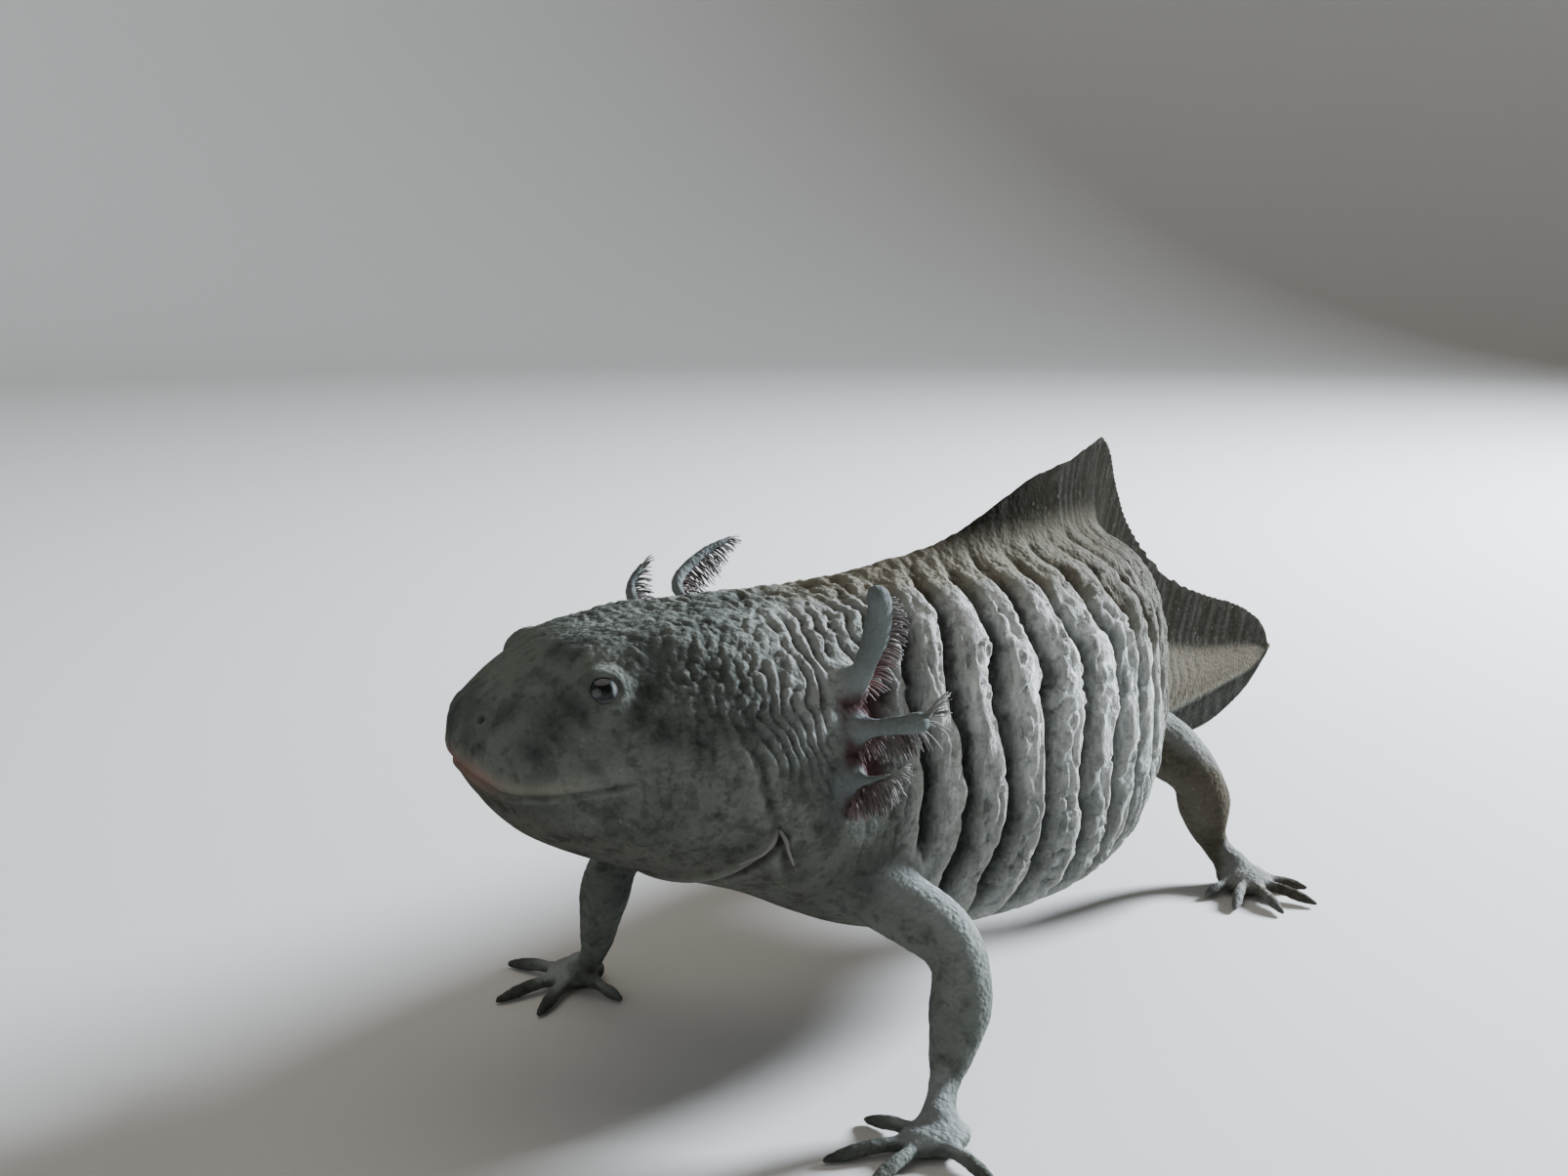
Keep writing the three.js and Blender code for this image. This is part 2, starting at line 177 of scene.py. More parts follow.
def power(value, exponent):
    """A power that keeps the value's sign."""
    return np.sign(value) * np.abs(value) ** exponent


def fade(value, start, end):
    """0 before start, 1 after end, and smooth between; start may be the larger."""
    t = np.clip((value - start) / (end - start), 0, 1)
    return t * t * (3 - 2 * t)


def bump(value, middle, width):
    """1 at the middle, and falling off smoothly on both sides."""
    return np.exp(-(((value - middle) / width) ** 2))


heading = through(HEADINGS)
half_width = through(BODY, 1)
back = through(BODY, 2)
belly = through(BODY, 3)
widest = through(BODY, 4)
roundness_above = through(ROUNDNESS_ABOVE)
upper_fin = through(UPPER_FIN)
lower_fin = through(LOWER_FIN)
print("Height of the back over the front legs, mm:", round(float(back(42)), 1))

# %% The spine, and places measured from it
SPINE_STEP = 0.5
spine_s = np.arange(0, TOTAL_LENGTH + SPINE_STEP / 2, SPINE_STEP)
turn = np.radians(heading((spine_s[1:] + spine_s[:-1]) / 2))
spine_x = np.concatenate([[0], np.cumsum(np.cos(turn) * SPINE_STEP)])
spine_y = np.concatenate([[0], np.cumsum(np.sin(turn) * SPINE_STEP)])


def at(station, left, height):
    """The point at a station, a distance to the left of the spine and a height."""
    station = np.asarray(station, float)
    angle = np.radians(heading(station))
    x = np.interp(station, spine_s, spine_x) + left * np.sin(angle)
    y = np.interp(station, spine_s, spine_y) - left * np.cos(angle)
    return np.stack(np.broadcast_arrays(x, y, np.asarray(height, float)), -1)


def tailward(station):
    """The level direction along the spine towards the tail."""
    angle = math.radians(float(heading(station)))
    return np.array([math.cos(angle), math.sin(angle), 0.0])


EYE_STATION, EYE_OUT, EYE_HEIGHT, EYE_RADIUS = 12.7, 11.9, 47.9, 2.3
box = np.array(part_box("eye_left")) / MM
origin = (box[0] + box[1]) / 2 - at(EYE_STATION, EYE_OUT, EYE_HEIGHT)
origin[2] = 0
print("Snout at, mm:", np.round(origin, 2))

# %% [markdown]
# ## Rough forms
#
# A UV sphere is already a closed ball. If its rows of points are moved to the cross-
# sections of a body, a fin or a leg, it becomes that form, still closed and with its
# poles at the two ends. That saves building faces by hand. The same small function makes
# the trunk, the fins, the legs, the toes and the gill stalks.

# %% A ball moved into shape
round_templates = {}


def ball(mesh, around, along, place):
    """Adds a ball to a bmesh; place(share along, angle round) gives each point in mm."""
    if (around, along) not in round_templates:
        fresh = bmesh.new()
        bmesh.ops.create_uvsphere(fresh, u_segments=around, v_segments=along, radius=1)
        template = bpy.data.meshes.new("template")
        fresh.to_mesh(template)
        fresh.free()
        round_templates[around, along] = template
    start = len(mesh.verts)
    mesh.from_mesh(round_templates[around, along])
    mesh.verts.ensure_lookup_table()
    verts = mesh.verts[start:]
    co = np.array([v.co for v in verts])
    share = np.arccos(np.clip(co[:, 2], -1, 1)) / np.pi
    angle = np.arctan2(co[:, 1], co[:, 0])
    for vert, point in zip(verts, place(share, angle)):
        vert.co = point
    return verts


# %% Smooth lines and round bars
def curve_through(points, steps=60):
    """Points, spaced evenly, on a smooth line through some given points."""
    points = np.asarray(points, float)
    t = np.concatenate([[0], np.cumsum(np.linalg.norm(np.diff(points, axis=0), axis=1))])
    slope = np.gradient(points, t, axis=0)
    fine = np.linspace(0, t[-1], steps * 4)
    i = np.clip(np.searchsorted(t, fine, side="right") - 1, 0, len(t) - 2)
    wide = (t[i + 1] - t[i])[:, None]
    u = (fine - t[i])[:, None] / wide
    line = cubic(u, wide, points[i], points[i + 1], slope[i], slope[i + 1])
    run = np.concatenate([[0], np.cumsum(np.linalg.norm(np.diff(line, axis=0), axis=1))])
    even = np.linspace(0, run[-1], steps)
    return np.stack([np.interp(even, run, line[:, k]) for k in range(3)], -1)


def directions(line):
    """The unit direction of a line at each of its points."""
    tangent = np.gradient(line, axis=0)
    return tangent / np.linalg.norm(tangent, axis=1)[:, None]


def bar(mesh, points, radii, around=24, along=40, flat=1.0, floor=False):
    """A round bar along a line, with rounded ends; flat thins it across."""
    line = curve_through(points)
    run = np.linspace(0, 1, len(line))
    length = np.linalg.norm(np.diff(line, axis=0), axis=1).sum()
    tangent = directions(line)
    chord = line[-1] - line[0]
    upright = abs(chord[2]) > 0.8 * np.linalg.norm(chord)
    reference = np.array([1.0, 0, 0]) if upright else np.array([0, 0, 1.0])
    across = np.cross(tangent, reference)
    across /= np.linalg.norm(across, axis=1)[:, None]
    above = np.cross(across, tangent)
    radius = through(radii)

    def place(share, angle):
        t = (1 - np.cos(np.pi * share)) / 2
        cap = np.where(t < 0.5, radius(0), radius(1))
        to_end = np.minimum(t, 1 - t) * length
        rounding = np.sqrt(np.clip(1 - np.clip(1 - to_end / cap, 0, 1) ** 2, 0, 1))
        r = (radius(t) * rounding)[:, None]
        middle, u, v = (
            np.stack([np.interp(t, run, rows[:, k]) for k in range(3)], -1)
            for rows in (line, across, above)
        )
        spot = middle + r * (flat * u * np.cos(angle)[:, None] + v * np.sin(angle)[:, None])
        if floor:
            spot[:, 2] = np.maximum(spot[:, 2], 0)
        return spot

    return ball(mesh, around, along, place)


# %% Trunk, head and tail as one form
rough = bmesh.new()
# The rings of points are closer on the head: [share of the rings, station].
ring_station = through([[0, 0], [0.1, 4], [0.3, 28], [0.7, 130], [1, TOTAL_LENGTH]])


def body_point(share, angle):
    """A point of the bare body, from its share along and its angle round."""
    station = ring_station(share)
    roundness = np.where(np.sin(angle) > 0, roundness_above(station), ROUNDNESS)
    across = power(np.cos(angle), 2 / roundness)
    up = power(np.sin(angle), 2 / roundness)
    middle = widest(station)
    reach = np.where(up > 0, back(station) - middle, middle - belly(station))
    return at(station, across * half_width(station), middle + up * reach)


ball(rough, 96, 300, body_point)
print("Body form:", len(rough.verts), "points")

# %% [markdown]
# ## Fins
#
# The fin is a thin fold of skin that stands on the back from behind the head to the tail
# tip, and returns under the tail. It could be a flat face made thicker, but it is widest
# where it leaves the body, so a ball pressed into a blade with a wide foot suits it
# better. The tall part leans a little, as a fin does at rest.

# %% The blades
FIN_EDGE = 0.5
FIN_TAPER = 1.9  # how fast the wide foot narrows into the blade
fin_root = through([
    [37, 2.5], [75, 4.2], [100, 5.0], [115, 4.8], [150, 2.8], [200, 1.7],
    [TOTAL_LENGTH, 0.8],
])


def fin(mesh, table, height, side):
    """A blade above the back (side 1) or below the belly (side -1)."""
    first, last = table[0][0], table[-1][0]
    edge = back if side > 0 else belly
    tallest = max(row[1] for row in table)

    def place(share, angle):
        station = first + (last - first) * share
        ends = np.clip(np.minimum(share, 1 - share) * 60, 0, 1) ** 0.5
        rise = (np.sin(angle) + 1) / 2
        depth = np.minimum(FIN_DEPTH, np.abs(edge(station) - widest(station)))
        full = height(station) + depth
        lean = 0
        if side > 0:
            lean = FIN_LEAN * rise * np.clip(height(station), 0, None) / tallest
        thick = FIN_EDGE + (fin_root(station) - FIN_EDGE) * (1 - rise) ** FIN_TAPER
        left = (np.cos(angle) * thick + lean) * ends
        spot = at(station, left * side, edge(station) + side * (rise * full * ends - depth))
        spot[:, 2] = np.maximum(spot[:, 2], 0)
        return spot

    return ball(mesh, 64, 300, place)


fin(rough, UPPER_FIN, upper_fin, 1)
fin(rough, LOWER_FIN, lower_fin, -1)
print("With fins:", len(rough.verts), "points")

# %% [markdown]
# ## Legs and feet
#
# An axolotl's legs are thin and soft, with a loose elbow, and end in a small palm with
# free toes: four in front and five behind. Each leg is a bar through shoulder, elbow and
# wrist. The palm is a low ball and each toe a bar, and both are flat on the floor.

# %% The legs' measures
# Joints are [forward, outward, height] from the girdle's station. Toes are [direction in
# degrees, length], and the palm's size is the measure for its height and for the toes.
PALM_HEIGHT = 0.42
FRONT_STATION = 42
HIND_STATION = 121
FRONT_TOES = [[-79, 10.2], [-21, 13], [14, 12.5], [84, 11.5]]
HIND_TOES = [[-72, 9], [-36, 12], [-4, 13.5], [28, 13], [64, 10]]
LIMBS = {
    "front_left": dict(
        station=FRONT_STATION, side=1, size=3.6, palm=[1, 30.5], pointing=10,
        joints=[[0, 10, 24], [-6.5, 22.5, 17.5], [-2, 27, 4.2]],
        toes=FRONT_TOES, radii=[4.0, 3.4, 2.6, 2.1],
    ),
    "front_right": dict(
        station=FRONT_STATION, side=-1, size=3.6, palm=[17, 31], pointing=-26,
        joints=[[2, 10, 24], [14, 22, 19.5], [17, 26.5, 4.2]],
        toes=FRONT_TOES, radii=[4.0, 3.1, 2.3, 2.0],
    ),
    "hind_left": dict(
        station=HIND_STATION, side=1, size=4, palm=[2.5, 27], pointing=30,
        joints=[[0, 6, 25], [6, 19, 18.5], [-1, 23.5, 4.4]],
        toes=HIND_TOES, radii=[4.8, 3.8, 3.0, 2.4],
    ),
    "hind_right": dict(
        station=HIND_STATION, side=-1, size=4, palm=[-3, 26], pointing=45,
        joints=[[0, 6, 25], [4, 19, 18.5], [-6, 22, 4.4]],
        toes=HIND_TOES, radii=[4.8, 3.8, 3.0, 2.4],
    ),
}
limb_lines = []
toe_tips = []
print("Toes:", sum(len(recipe["toes"]) for recipe in LIMBS.values()))


# %% One leg with its foot
def leg(mesh, station, side, joints, palm, pointing, toes, radii, size):
    """Adds a leg, its palm and its toes, and keeps the leg's line and the toes' tips."""
    forward = -tailward(station)

    def place(ahead, out, height):
        return at(station, side * out, height) + forward * ahead

    root, elbow, wrist = (place(*joint) for joint in joints)
    middle = place(*palm, 0)
    hand = middle + [0, 0, size * PALM_HEIGHT]
    line = [root, elbow, wrist, (wrist + 2 * hand) / 3 + [0, 0, 0.3], hand]
    thigh, knee, shin, ankle = radii
    swell = [
        [0, thigh * 1.1], [0.25, thigh], [0.47, knee * 0.95], [0.58, knee * 1.02],
        [0.7, shin * 1.05], [0.84, ankle * 0.9], [0.93, ankle * 0.95], [1, ankle],
    ]
    bar(mesh, line, swell, around=32, along=90)
    limb_lines.append(curve_through(line))

    ahead = math.atan2(forward[1], forward[0]) + math.radians(side * pointing)
    along = np.array([math.cos(ahead), math.sin(ahead), 0])
    across = np.array([-along[1], along[0], 0])

    def pad(share, angle):
        ring = np.sin(np.pi * share)
        spot = middle + size * (
            1.2 * along * (ring * np.cos(angle))[:, None]
            + 0.95 * across * (ring * np.sin(angle))[:, None]
        )
        spot[:, 2] = np.maximum(size * (PALM_HEIGHT + 0.5 * np.cos(np.pi * share)), 0)
        return spot

    ball(mesh, 32, 20, pad)
    for toe_turn, length in toes:
        a = ahead + math.radians(side * toe_turn)
        way = np.array([math.cos(a), math.sin(a), 0])
        bends = [[0.45 * size, 0.34 * size], [0.5 * length, 0.36 * size], [length - 0.5, 0.45]]
        line = [middle + way * out + [0, 0, up] for out, up in bends]
        shape = [[0, 0.32 * size], [0.35, 0.24 * size], [0.62, 0.25 * size], [1, 0.5]]
        bar(mesh, line, shape, around=16, along=30, floor=True)
        toe_tips.append(line[-1])


for recipe in LIMBS.values():
    leg(rough, **recipe)
print("With legs:", len(rough.verts), "points")

# %% [markdown]
# ## Gill stalks
#
# Three soft stalks leave the back corner of the head on each side. They are stout at the
# root and curl at the tip, and fine filaments hang from their rear edges. The stalks are
# flesh and belong to the skin; their lines are kept, because the filaments grow on them.

# %% The stalks
# Each way is [backward, outward, upward] from the root, and `stalk` is the radius there.
# A blunt tip is nearly as thick as the root. Filaments hang along `hang`, and those at the
# tip point along `tip` and are longer by `flare`.
GILL_ROOT_OUT = 15.5
GILLS = [
    dict(name="upper", side=1, station=39.5, height=47.3, stalk=1.8, blunt=0.9, length=2.8,
         hang=[0.95, -0.15, -0.5], tip=[0.9, -0.2, -0.4], flare=0.35,
         way=[[-0.1, 3.2, 3.6], [-0.4, 5.8, 7], [-1.1, 7.6, 10.2], [-2.3, 8.2, 12]]),
    dict(name="middle", side=1, station=38.2, height=42.6, stalk=1.6, blunt=0.95, length=3.3,
         hang=[0.75, 0.1, -0.75], tip=[0.6, 0.1, 0.85], flare=1.9,
         way=[[1.7, 3, 0.4], [3.4, 5.2, 1], [5.3, 6.6, 1.4], [6.7, 7.4, 1.8]]),
    dict(name="lower", side=1, station=37.8, height=36.4, stalk=1.5, blunt=0.5, length=3.2,
         hang=[0.35, 0.2, -1], tip=[0.8, 0.2, -0.3], flare=0.7,
         way=[[0.6, 2.6, 0.8], [1.7, 4.6, 1.4], [2.8, 6, 2.1], [3.9, 6.8, 2.8]]),
    dict(name="upper", side=-1, station=39.5, height=47.3, stalk=1.0, blunt=0.7, length=3.4,
         hang=[0.8, 0, -0.6], tip=[0.9, 0, -0.2], flare=0.7,
         way=[[-2.6, 4.5, 1.9], [-3.3, 8.5, 4.4], [0.9, 11, 7.4], [6.1, 12, 9.4]]),
    dict(name="middle", side=-1, station=38.2, height=42.6, stalk=1.1, blunt=0.7, length=3.4,
         hang=[0.9, 0, -0.4], tip=[0.6, 0, 0.7], flare=0.8,
         way=[[-2.7, 5, 2.3], [-5.8, 10, 5.2], [-6.2, 13.5, 8.2], [-3.5, 15, 11.3]]),
    dict(name="lower", side=-1, station=37.8, height=36.4, stalk=1.1, blunt=0.7, length=4,
         hang=[0.6, 0, -0.8], tip=[0.8, 0, 0.2], flare=0.9,
         way=[[-0.5, 4, 0.9], [1.5, 8, 1.4], [3.7, 10.5, 2.6], [6.8, 12, 4.5]]),
]
gill_lines = {}
for recipe in GILLS:
    side, r = recipe["side"], recipe["stalk"]
    behind = tailward(recipe["station"])
    points = [
        at(recipe["station"], side * (GILL_ROOT_OUT + out), recipe["height"] + up)
        + behind * rear
        for rear, out, up in [[-1, -2, 0], [0, 0, 0]] + recipe["way"]
    ]
    blunt = recipe["blunt"]
    taper = [
        [0, r * 1.25], [0.35, r], [0.7, r * (0.4 + 0.55 * blunt)], [0.92, r * 0.85 * blunt],
        [1, r * 0.5 * blunt],
    ]
    bar(rough, points, taper, flat=0.9)
    gill_lines[side, recipe["name"]] = (curve_through(points, 120), r)
print("With gills:", len(rough.verts), "points")

# %% [markdown]
# ## One skin
#
# The forms overlap, but a living skin has no joins. The Remesh modifier in voxel mode
# keeps only the outer surface of all of them and gives it even faces. A few rounds of
# smoothing then round off the steps, with many more where a leg, fin or gill leaves the
# body, which makes the soft hollow that skin has there.

# %% Fusing
VOXEL = 0.34


def new_object(name, mesh):
    """An object for a mesh or a lamp, at the origin of the scene."""
    made = bpy.data.objects.new(name, mesh)
    bpy.context.scene.collection.objects.link(made)
    return made


def object_of(form, name):
    """An object made from a bmesh whose points are in mm from the snout."""
    for vert in form.verts:
        vert.co = (np.array(vert.co) + origin) * MM
    mesh = bpy.data.meshes.new(name)
    form.to_mesh(mesh)
    form.free()
    for polygon in mesh.polygons:
        polygon.use_smooth = True
    return new_object(name, mesh)


def applied(piece):
    """The piece's mesh with its modifiers applied, and the modifiers gone."""
    shape = piece.evaluated_get(bpy.context.evaluated_depsgraph_get())
    mesh = bpy.data.meshes.new_from_object(shape)
    piece.modifiers.clear()
    old = piece.data
    piece.data = mesh
    bpy.data.meshes.remove(old)
    mesh.name = piece.name
    return mesh


skin = object_of(rough, "skin")
remesh = skin.modifiers.new("Fuse", "REMESH")
remesh.mode = "VOXEL"
remesh.voxel_size = VOXEL * MM
applied(skin)
print("Fused skin:", len(skin.data.vertices), "points")


# %% Reading and moving many points at once
def points_of(mesh):
    """A mesh's points, in mm from the snout."""
    co = np.empty(len(mesh.vertices) * 3)
    mesh.vertices.foreach_get("co", co)
    return co.reshape(-1, 3) / MM - origin


def move_points(mesh, points):
    """Puts a mesh's points at places in mm from the snout."""
    mesh.vertices.foreach_set("co", ((points + origin) * MM).ravel())
    mesh.update()


def normals_of(mesh):
    normal = np.empty(len(mesh.vertices) * 3)
    mesh.vertex_normals.foreach_get("vector", normal)
    return normal.reshape(-1, 3)


def edges_of(mesh):
    edges = np.empty(len(mesh.edges) * 2, dtype=np.int64)
    mesh.edges.foreach_get("vertices", edges)
    return edges.reshape(-1, 2)


def relax(values, edges, weight, times):
    """Moves each value towards the mean of its neighbours, weight (0 to 1) of the way."""
    count = np.bincount(edges.ravel(), minlength=len(values)).astype(float)
    weight = np.broadcast_to(weight, len(values))[:, None]
    for _ in range(times):
        total = np.zeros_like(values)
        for k in range(values.shape[1]):
            total[:, k] = np.bincount(edges[:, 0], values[edges[:, 1], k], len(values))
            total[:, k] += np.bincount(edges[:, 1], values[edges[:, 0], k], len(values))
        values = values + weight * (total / count[:, None] - values)
    return values


def store(mesh, name, values):
    """Keeps one number for each point, which a material can read by its name."""
    layer = mesh.attributes.new(name, "FLOAT", "POINT")
    layer.data.foreach_set("value", np.asarray(values, dtype=np.float32))


# %% The body's own coordinates, for any point
def body_coordinates(points):
    """Station, distance left, and reach (1 on the bare body's surface) and angle."""
    # The nearest of a few spine points is a first guess, which six steps make exact.
    coarse = np.arange(0, len(spine_s), 8)
    dx = points[:, 0, None] - spine_x[coarse]
    dy = points[:, 1, None] - spine_y[coarse]
    station = spine_s[coarse][np.argmin(dx * dx + dy * dy, axis=1)]
    for _ in range(6):
        angle = np.radians(heading(station))
        dx = points[:, 0] - np.interp(station, spine_s, spine_x)
        dy = points[:, 1] - np.interp(station, spine_s, spine_y)
        station = np.clip(station + dx * np.cos(angle) + dy * np.sin(angle), 0, TOTAL_LENGTH)
    left = dx * np.sin(angle) - dy * np.cos(angle)
    middle = widest(station)
    rise = points[:, 2] - middle
    reach = np.where(rise > 0, back(station) - middle, middle - belly(station))
    across = left / np.maximum(half_width(station), 0.5)
    up = rise / np.maximum(reach, 0.5)
    roundness = np.where(rise > 0, roundness_above(station), ROUNDNESS)
    far = (np.abs(across) ** roundness + np.abs(up) ** roundness) ** (1 / roundness)
    across, up = power(across, roundness / 2), power(up, roundness / 2)
    return station, left, far, np.degrees(np.arctan2(up, np.abs(across)))


def distance_to(points, lines):
    """The distance of each point from the nearest of some lines' points."""
    spots = np.concatenate(lines)
    tree = KDTree(len(spots))
    for i, spot in enumerate(spots):
        tree.insert(spot, i)
    tree.balance()
    return np.array([tree.find(point)[2] for point in points])


# %% Smoothing the joins
points = points_of(skin.data)
edges = edges_of(skin.data)
station, left, far, angle = body_coordinates(points)
to_limb = distance_to(points, limb_lines)
to_gill = distance_to(points, [line for line, _ in gill_lines.values()])
at_join = fade(far, 1.5, 1.15) * fade(far, 0.88, 1.0)
near_leg = at_join * fade(to_limb, 8.5, 5)
near_gill = at_join * fade(to_gill, 4.5, 2.5)
near_fin = fade(np.abs(left), 11, 7) * fade(far, 1.4, 1.12) * fade(far, 0.85, 0.95)
near_fin *= fade(station, 36, 46)
fin_rim = fade(far, 1.2, 1.4) * fade(np.abs(left), 10, 7) * fade(station, 46, 56)
thin_parts = 0.5 * fade(far, 1.1, 1.3) * fade(station, 46, 56)
WRIST_POINT = -10  # a leg line's tenth point from its end
wrist = np.zeros(len(points))
for line in limb_lines:
    r = np.linalg.norm(points - line[WRIST_POINT], axis=1)
    wrist = np.maximum(wrist, fade(r, 4.5, 2.5))
join = np.maximum(np.maximum(near_leg, near_gill), wrist * 0.5)

# The rounds suit voxels of 0.42 mm. Finer ones need more rounds for the same effect.
TUNED_VOXEL = 0.42
finer = TUNED_VOXEL / VOXEL
points = relax(points, edges, 0.5, max(1, round(4 * finer)))
for weight, rounds in ((0.6 * join, 60), (0.8 * near_fin, 160), (thin_parts, 9)):
    points = relax(points, edges, weight, round(rounds * finer**2))
move_points(skin.data, points)
print("Points smoothed at the joins:", int((np.maximum(join, near_fin) > 0.1).sum()))

# %% [markdown]
# ## Folds
#
# The flanks carry costal grooves: deep upright creases about 5 mm apart, one for each
# rib, with rounded ridges between them. On the neck the creases are a third as far apart,
# and on the back of the head the skin breaks up into small upright pebbles. They could be
# sculpted by hand, or left to a bump in the material, but then the outline would stay
# smooth. Here each is a function of the body's own coordinates that says how far the skin
# moves in or out, in millimetres. Two sorts of noise break their regularity: a smooth one,
# and a cellular one whose cell borders make the creases between the pebbles.

# %% Where each kind of skin lies
station, left, far, angle = body_coordinates(points)
height = points[:, 2]
body_side = np.sign(left)
to_limb = distance_to(points, limb_lines)
to_gill = distance_to(points, [line for line, _ in gill_lines.values()])
fin_side = fade(far, 1.02, 1.12) * fade(np.abs(left), 9, 6) * fade(station, 40, 52)
bare = fade(far, 1.22, 1.08) * fade(to_limb, 4.5, 7.5) * fade(to_gill, 2.2, 3.4)
bare = bare * (1 - fin_side)
nape = fade(station, 10, 26) * fade(station, 50, 42) * fade(angle, 8, 44)
cheek = fade(station, 6, 20) * fade(station, 42, 34) * fade(angle, -35, 5) * (1 - nape)
trunk = fade(station, 38, 46) * fade(station, 150, 120) * fade(angle, -80, -20)
print("Points on the bare body:", int((bare > 0.5).sum()))

# %% Noise laid along the body
GIRTH_RADIUS = 18


def on_girth(along, around, seed):
    """Noise space in which one unit is `along` mm of station and `around` mm of girth."""
    a = np.radians(angle)
    x = station / along + seed * 7.31
    y = body_side * np.cos(a) * GIRTH_RADIUS / around + seed * 3.17
    z = np.sin(a) * GIRTH_RADIUS / around + seed * 5.71
    return np.stack([x, y, z], -1)


def smooth_noise(places):
    """About -1 to 1."""
    return np.array([noise.noise(Vector(p)) for p in places]) * 1.8


def creases(places, wide):
    """1 along the borders of irregular cells, falling to 0 over a share of a cell."""
    border = np.empty(len(places))
    for i, p in enumerate(places):
        near = noise.voronoi(Vector(p))[0]
        border[i] = near[1] - near[0]
    return np.exp(-((border / wide) ** 2))


def wrinkles(places, wide):
    """1 along the winding lines where a smooth noise is 0, falling to 0 beside them."""
    return np.exp(-((smooth_noise(places) / wide) ** 2))


# %% The noises that the folds share
sway = smooth_noise(on_girth(15, 9, 1))
quiver = smooth_noise(on_girth(6, 2.6, 2))
warp = 0.5 * np.stack([sway, quiver, quiver], -1)
short_fold = wrinkles(on_girth(1.25, 3.2, 3) + warp, 0.3)
long_fold = wrinkles(on_girth(1.3, 9, 4) + warp, 0.25)
pebble = creases(on_girth(1.3, 2.4, 7) + warp, 0.32)
grain = creases(points / 1.15 + 40, 0.25)
lumps = smooth_noise(on_girth(1.5, 3.2, 8))
ray = smooth_noise(on_girth(1.1, 12, 6))
print("Share of the skin in a pebble's crease:", round(float((pebble > 0.5).mean()), 2))

# %% Costal grooves
RIB_PITCH = 4.9
FIRST_RIB = 47.6
RIDGE_RISE, GROOVE_DEPTH, FORK_DEPTH = 0.55, 2.5, 0.6


def folded(count, sharp, lean=1.0):
    """A row of rounded ridges: 1 on each crest and 0 in each groove.

    A lean over 1 moves the crests towards the tail, like shingles.
    """
    wave = np.sin(np.pi * (count - np.floor(count)) ** lean)
    return 0.6 * wave**sharp + 0.4 * fade(wave, 0.0, 0.7)


# The angle near which the grooves run out on the back, at some stations.
fold_tops = through([[44, 80], [62, 80], [75, 70], [90, 56], [110, 44], [130, 36]])
bow = 0.4 * fade(station, 55, 75) * fade(angle, 48, 0)
count = (station - FIRST_RIB) / RIB_PITCH - bow + 0.17 * sway + 0.045 * quiver
top = fold_tops(station)
faint = 0.22 * fade(station, 56, 66) * fade(angle, 90, 82)
formed = fade(station, 44, 49) * fade(station, 130, 108)
formed = formed * np.maximum(fade(angle, top + 8, top - 30), faint) * fade(angle, -75, -30)
formed *= bare
print("Ridges on each side:", int(count[formed > 0.3].max() - count[formed > 0.3].min()))

# %% Forks in some ridges
rib = np.floor(count)
share = count - rib
girth = np.radians(angle) * GIRTH_RADIUS
along_rib = np.stack([rib * 3.7 + body_side * 9, girth / 7, np.full_like(rib, 2.5)], -1)
fork_place = 0.5 + 0.2 * smooth_noise(along_rib)
forked = fade(smooth_noise(along_rib + [0, 31, 0]), -0.1, 0.5)
fork = forked * bump(share, fork_place, 0.08)
groove = 1 - folded(count, 0.6, 1.35)
flank_folds = formed * (RIDGE_RISE - GROOVE_DEPTH * groove - FORK_DEPTH * fork * formed)

# Painted shade darkens the side of each ridge towards the head, and a painted highlight
# pales its rim towards the tail.
dark_side = formed * np.maximum(fade(share, 0.45, 0.12), fade(share, 0.94, 1.0))
pale_rim = formed * bump(share, 0.82, 0.12)
print("Flank moves, mm:", flank_folds.min().round(2), "to", flank_folds.max().round(2))

# %% Finer folds of the neck, the cheek and the tail
NECK_PITCH, CHEEK_PITCH, TAIL_PITCH = 1.75, 1.6, 4.4
count = (station - 35.0 + 0.06 * (angle - 45)) / NECK_PITCH + 0.7 * sway + 0.35 * quiver
where = fade(station, 30, 36) * fade(station, 48.5, 45) * fade(angle, 80, 60)
where = where * fade(angle, 10, 36)
neck_folds = where * (0.2 - 0.75 * (1 - folded(count, 0.75, 1.4)))

count = (station - 28.0 + 0.05 * angle) / CHEEK_PITCH + 1.1 * sway + 0.6 * quiver
where = fade(station, 20, 30) * fade(station, 37.5, 35) * fade(angle, 50, 34)
where = where * fade(angle, -6, 12)
cheek_folds = where * (0.12 - 0.38 * (1 - folded(count, 0.9, 1.3)))

# The muscle blocks of the tail show as faint upright bands.
count = (station - 128) / TAIL_PITCH + 0.2 * sway + 0.25 * np.abs(angle) / 90
where = fade(station, 122, 138) * fade(station, 225, 190) * fade(np.abs(angle), 86, 60)
tail_folds = where * -0.28 * (1 - folded(count, 0.8))
print("Tail bands, mm deep:", -tail_folds.min().round(2))

# %% Lips
MOUTH_CORNER = 13.5
mouth_line = through([
    [0, 39.6], [1.5, 38.6], [3.2, 37.6], [5.2, 37.8], [12.5, 39.1], [18, 40.4],
])
over = height - mouth_line(station)
slit = -0.3 * bump(over, 0, 0.26)
upper_lip = 0.2 * bump(over, 1.4, 1.0)
lower_lip = -0.4 * bump(over, -1.7, 1.4) + 0.15 * bump(over, -0.75, 0.35)
mouth = fade(station, MOUTH_CORNER + 2.5, MOUTH_CORNER - 0.5) * (slit + upper_lip + lower_lip)
print("Mouth slit, mm deep:", -mouth.min().round(2))

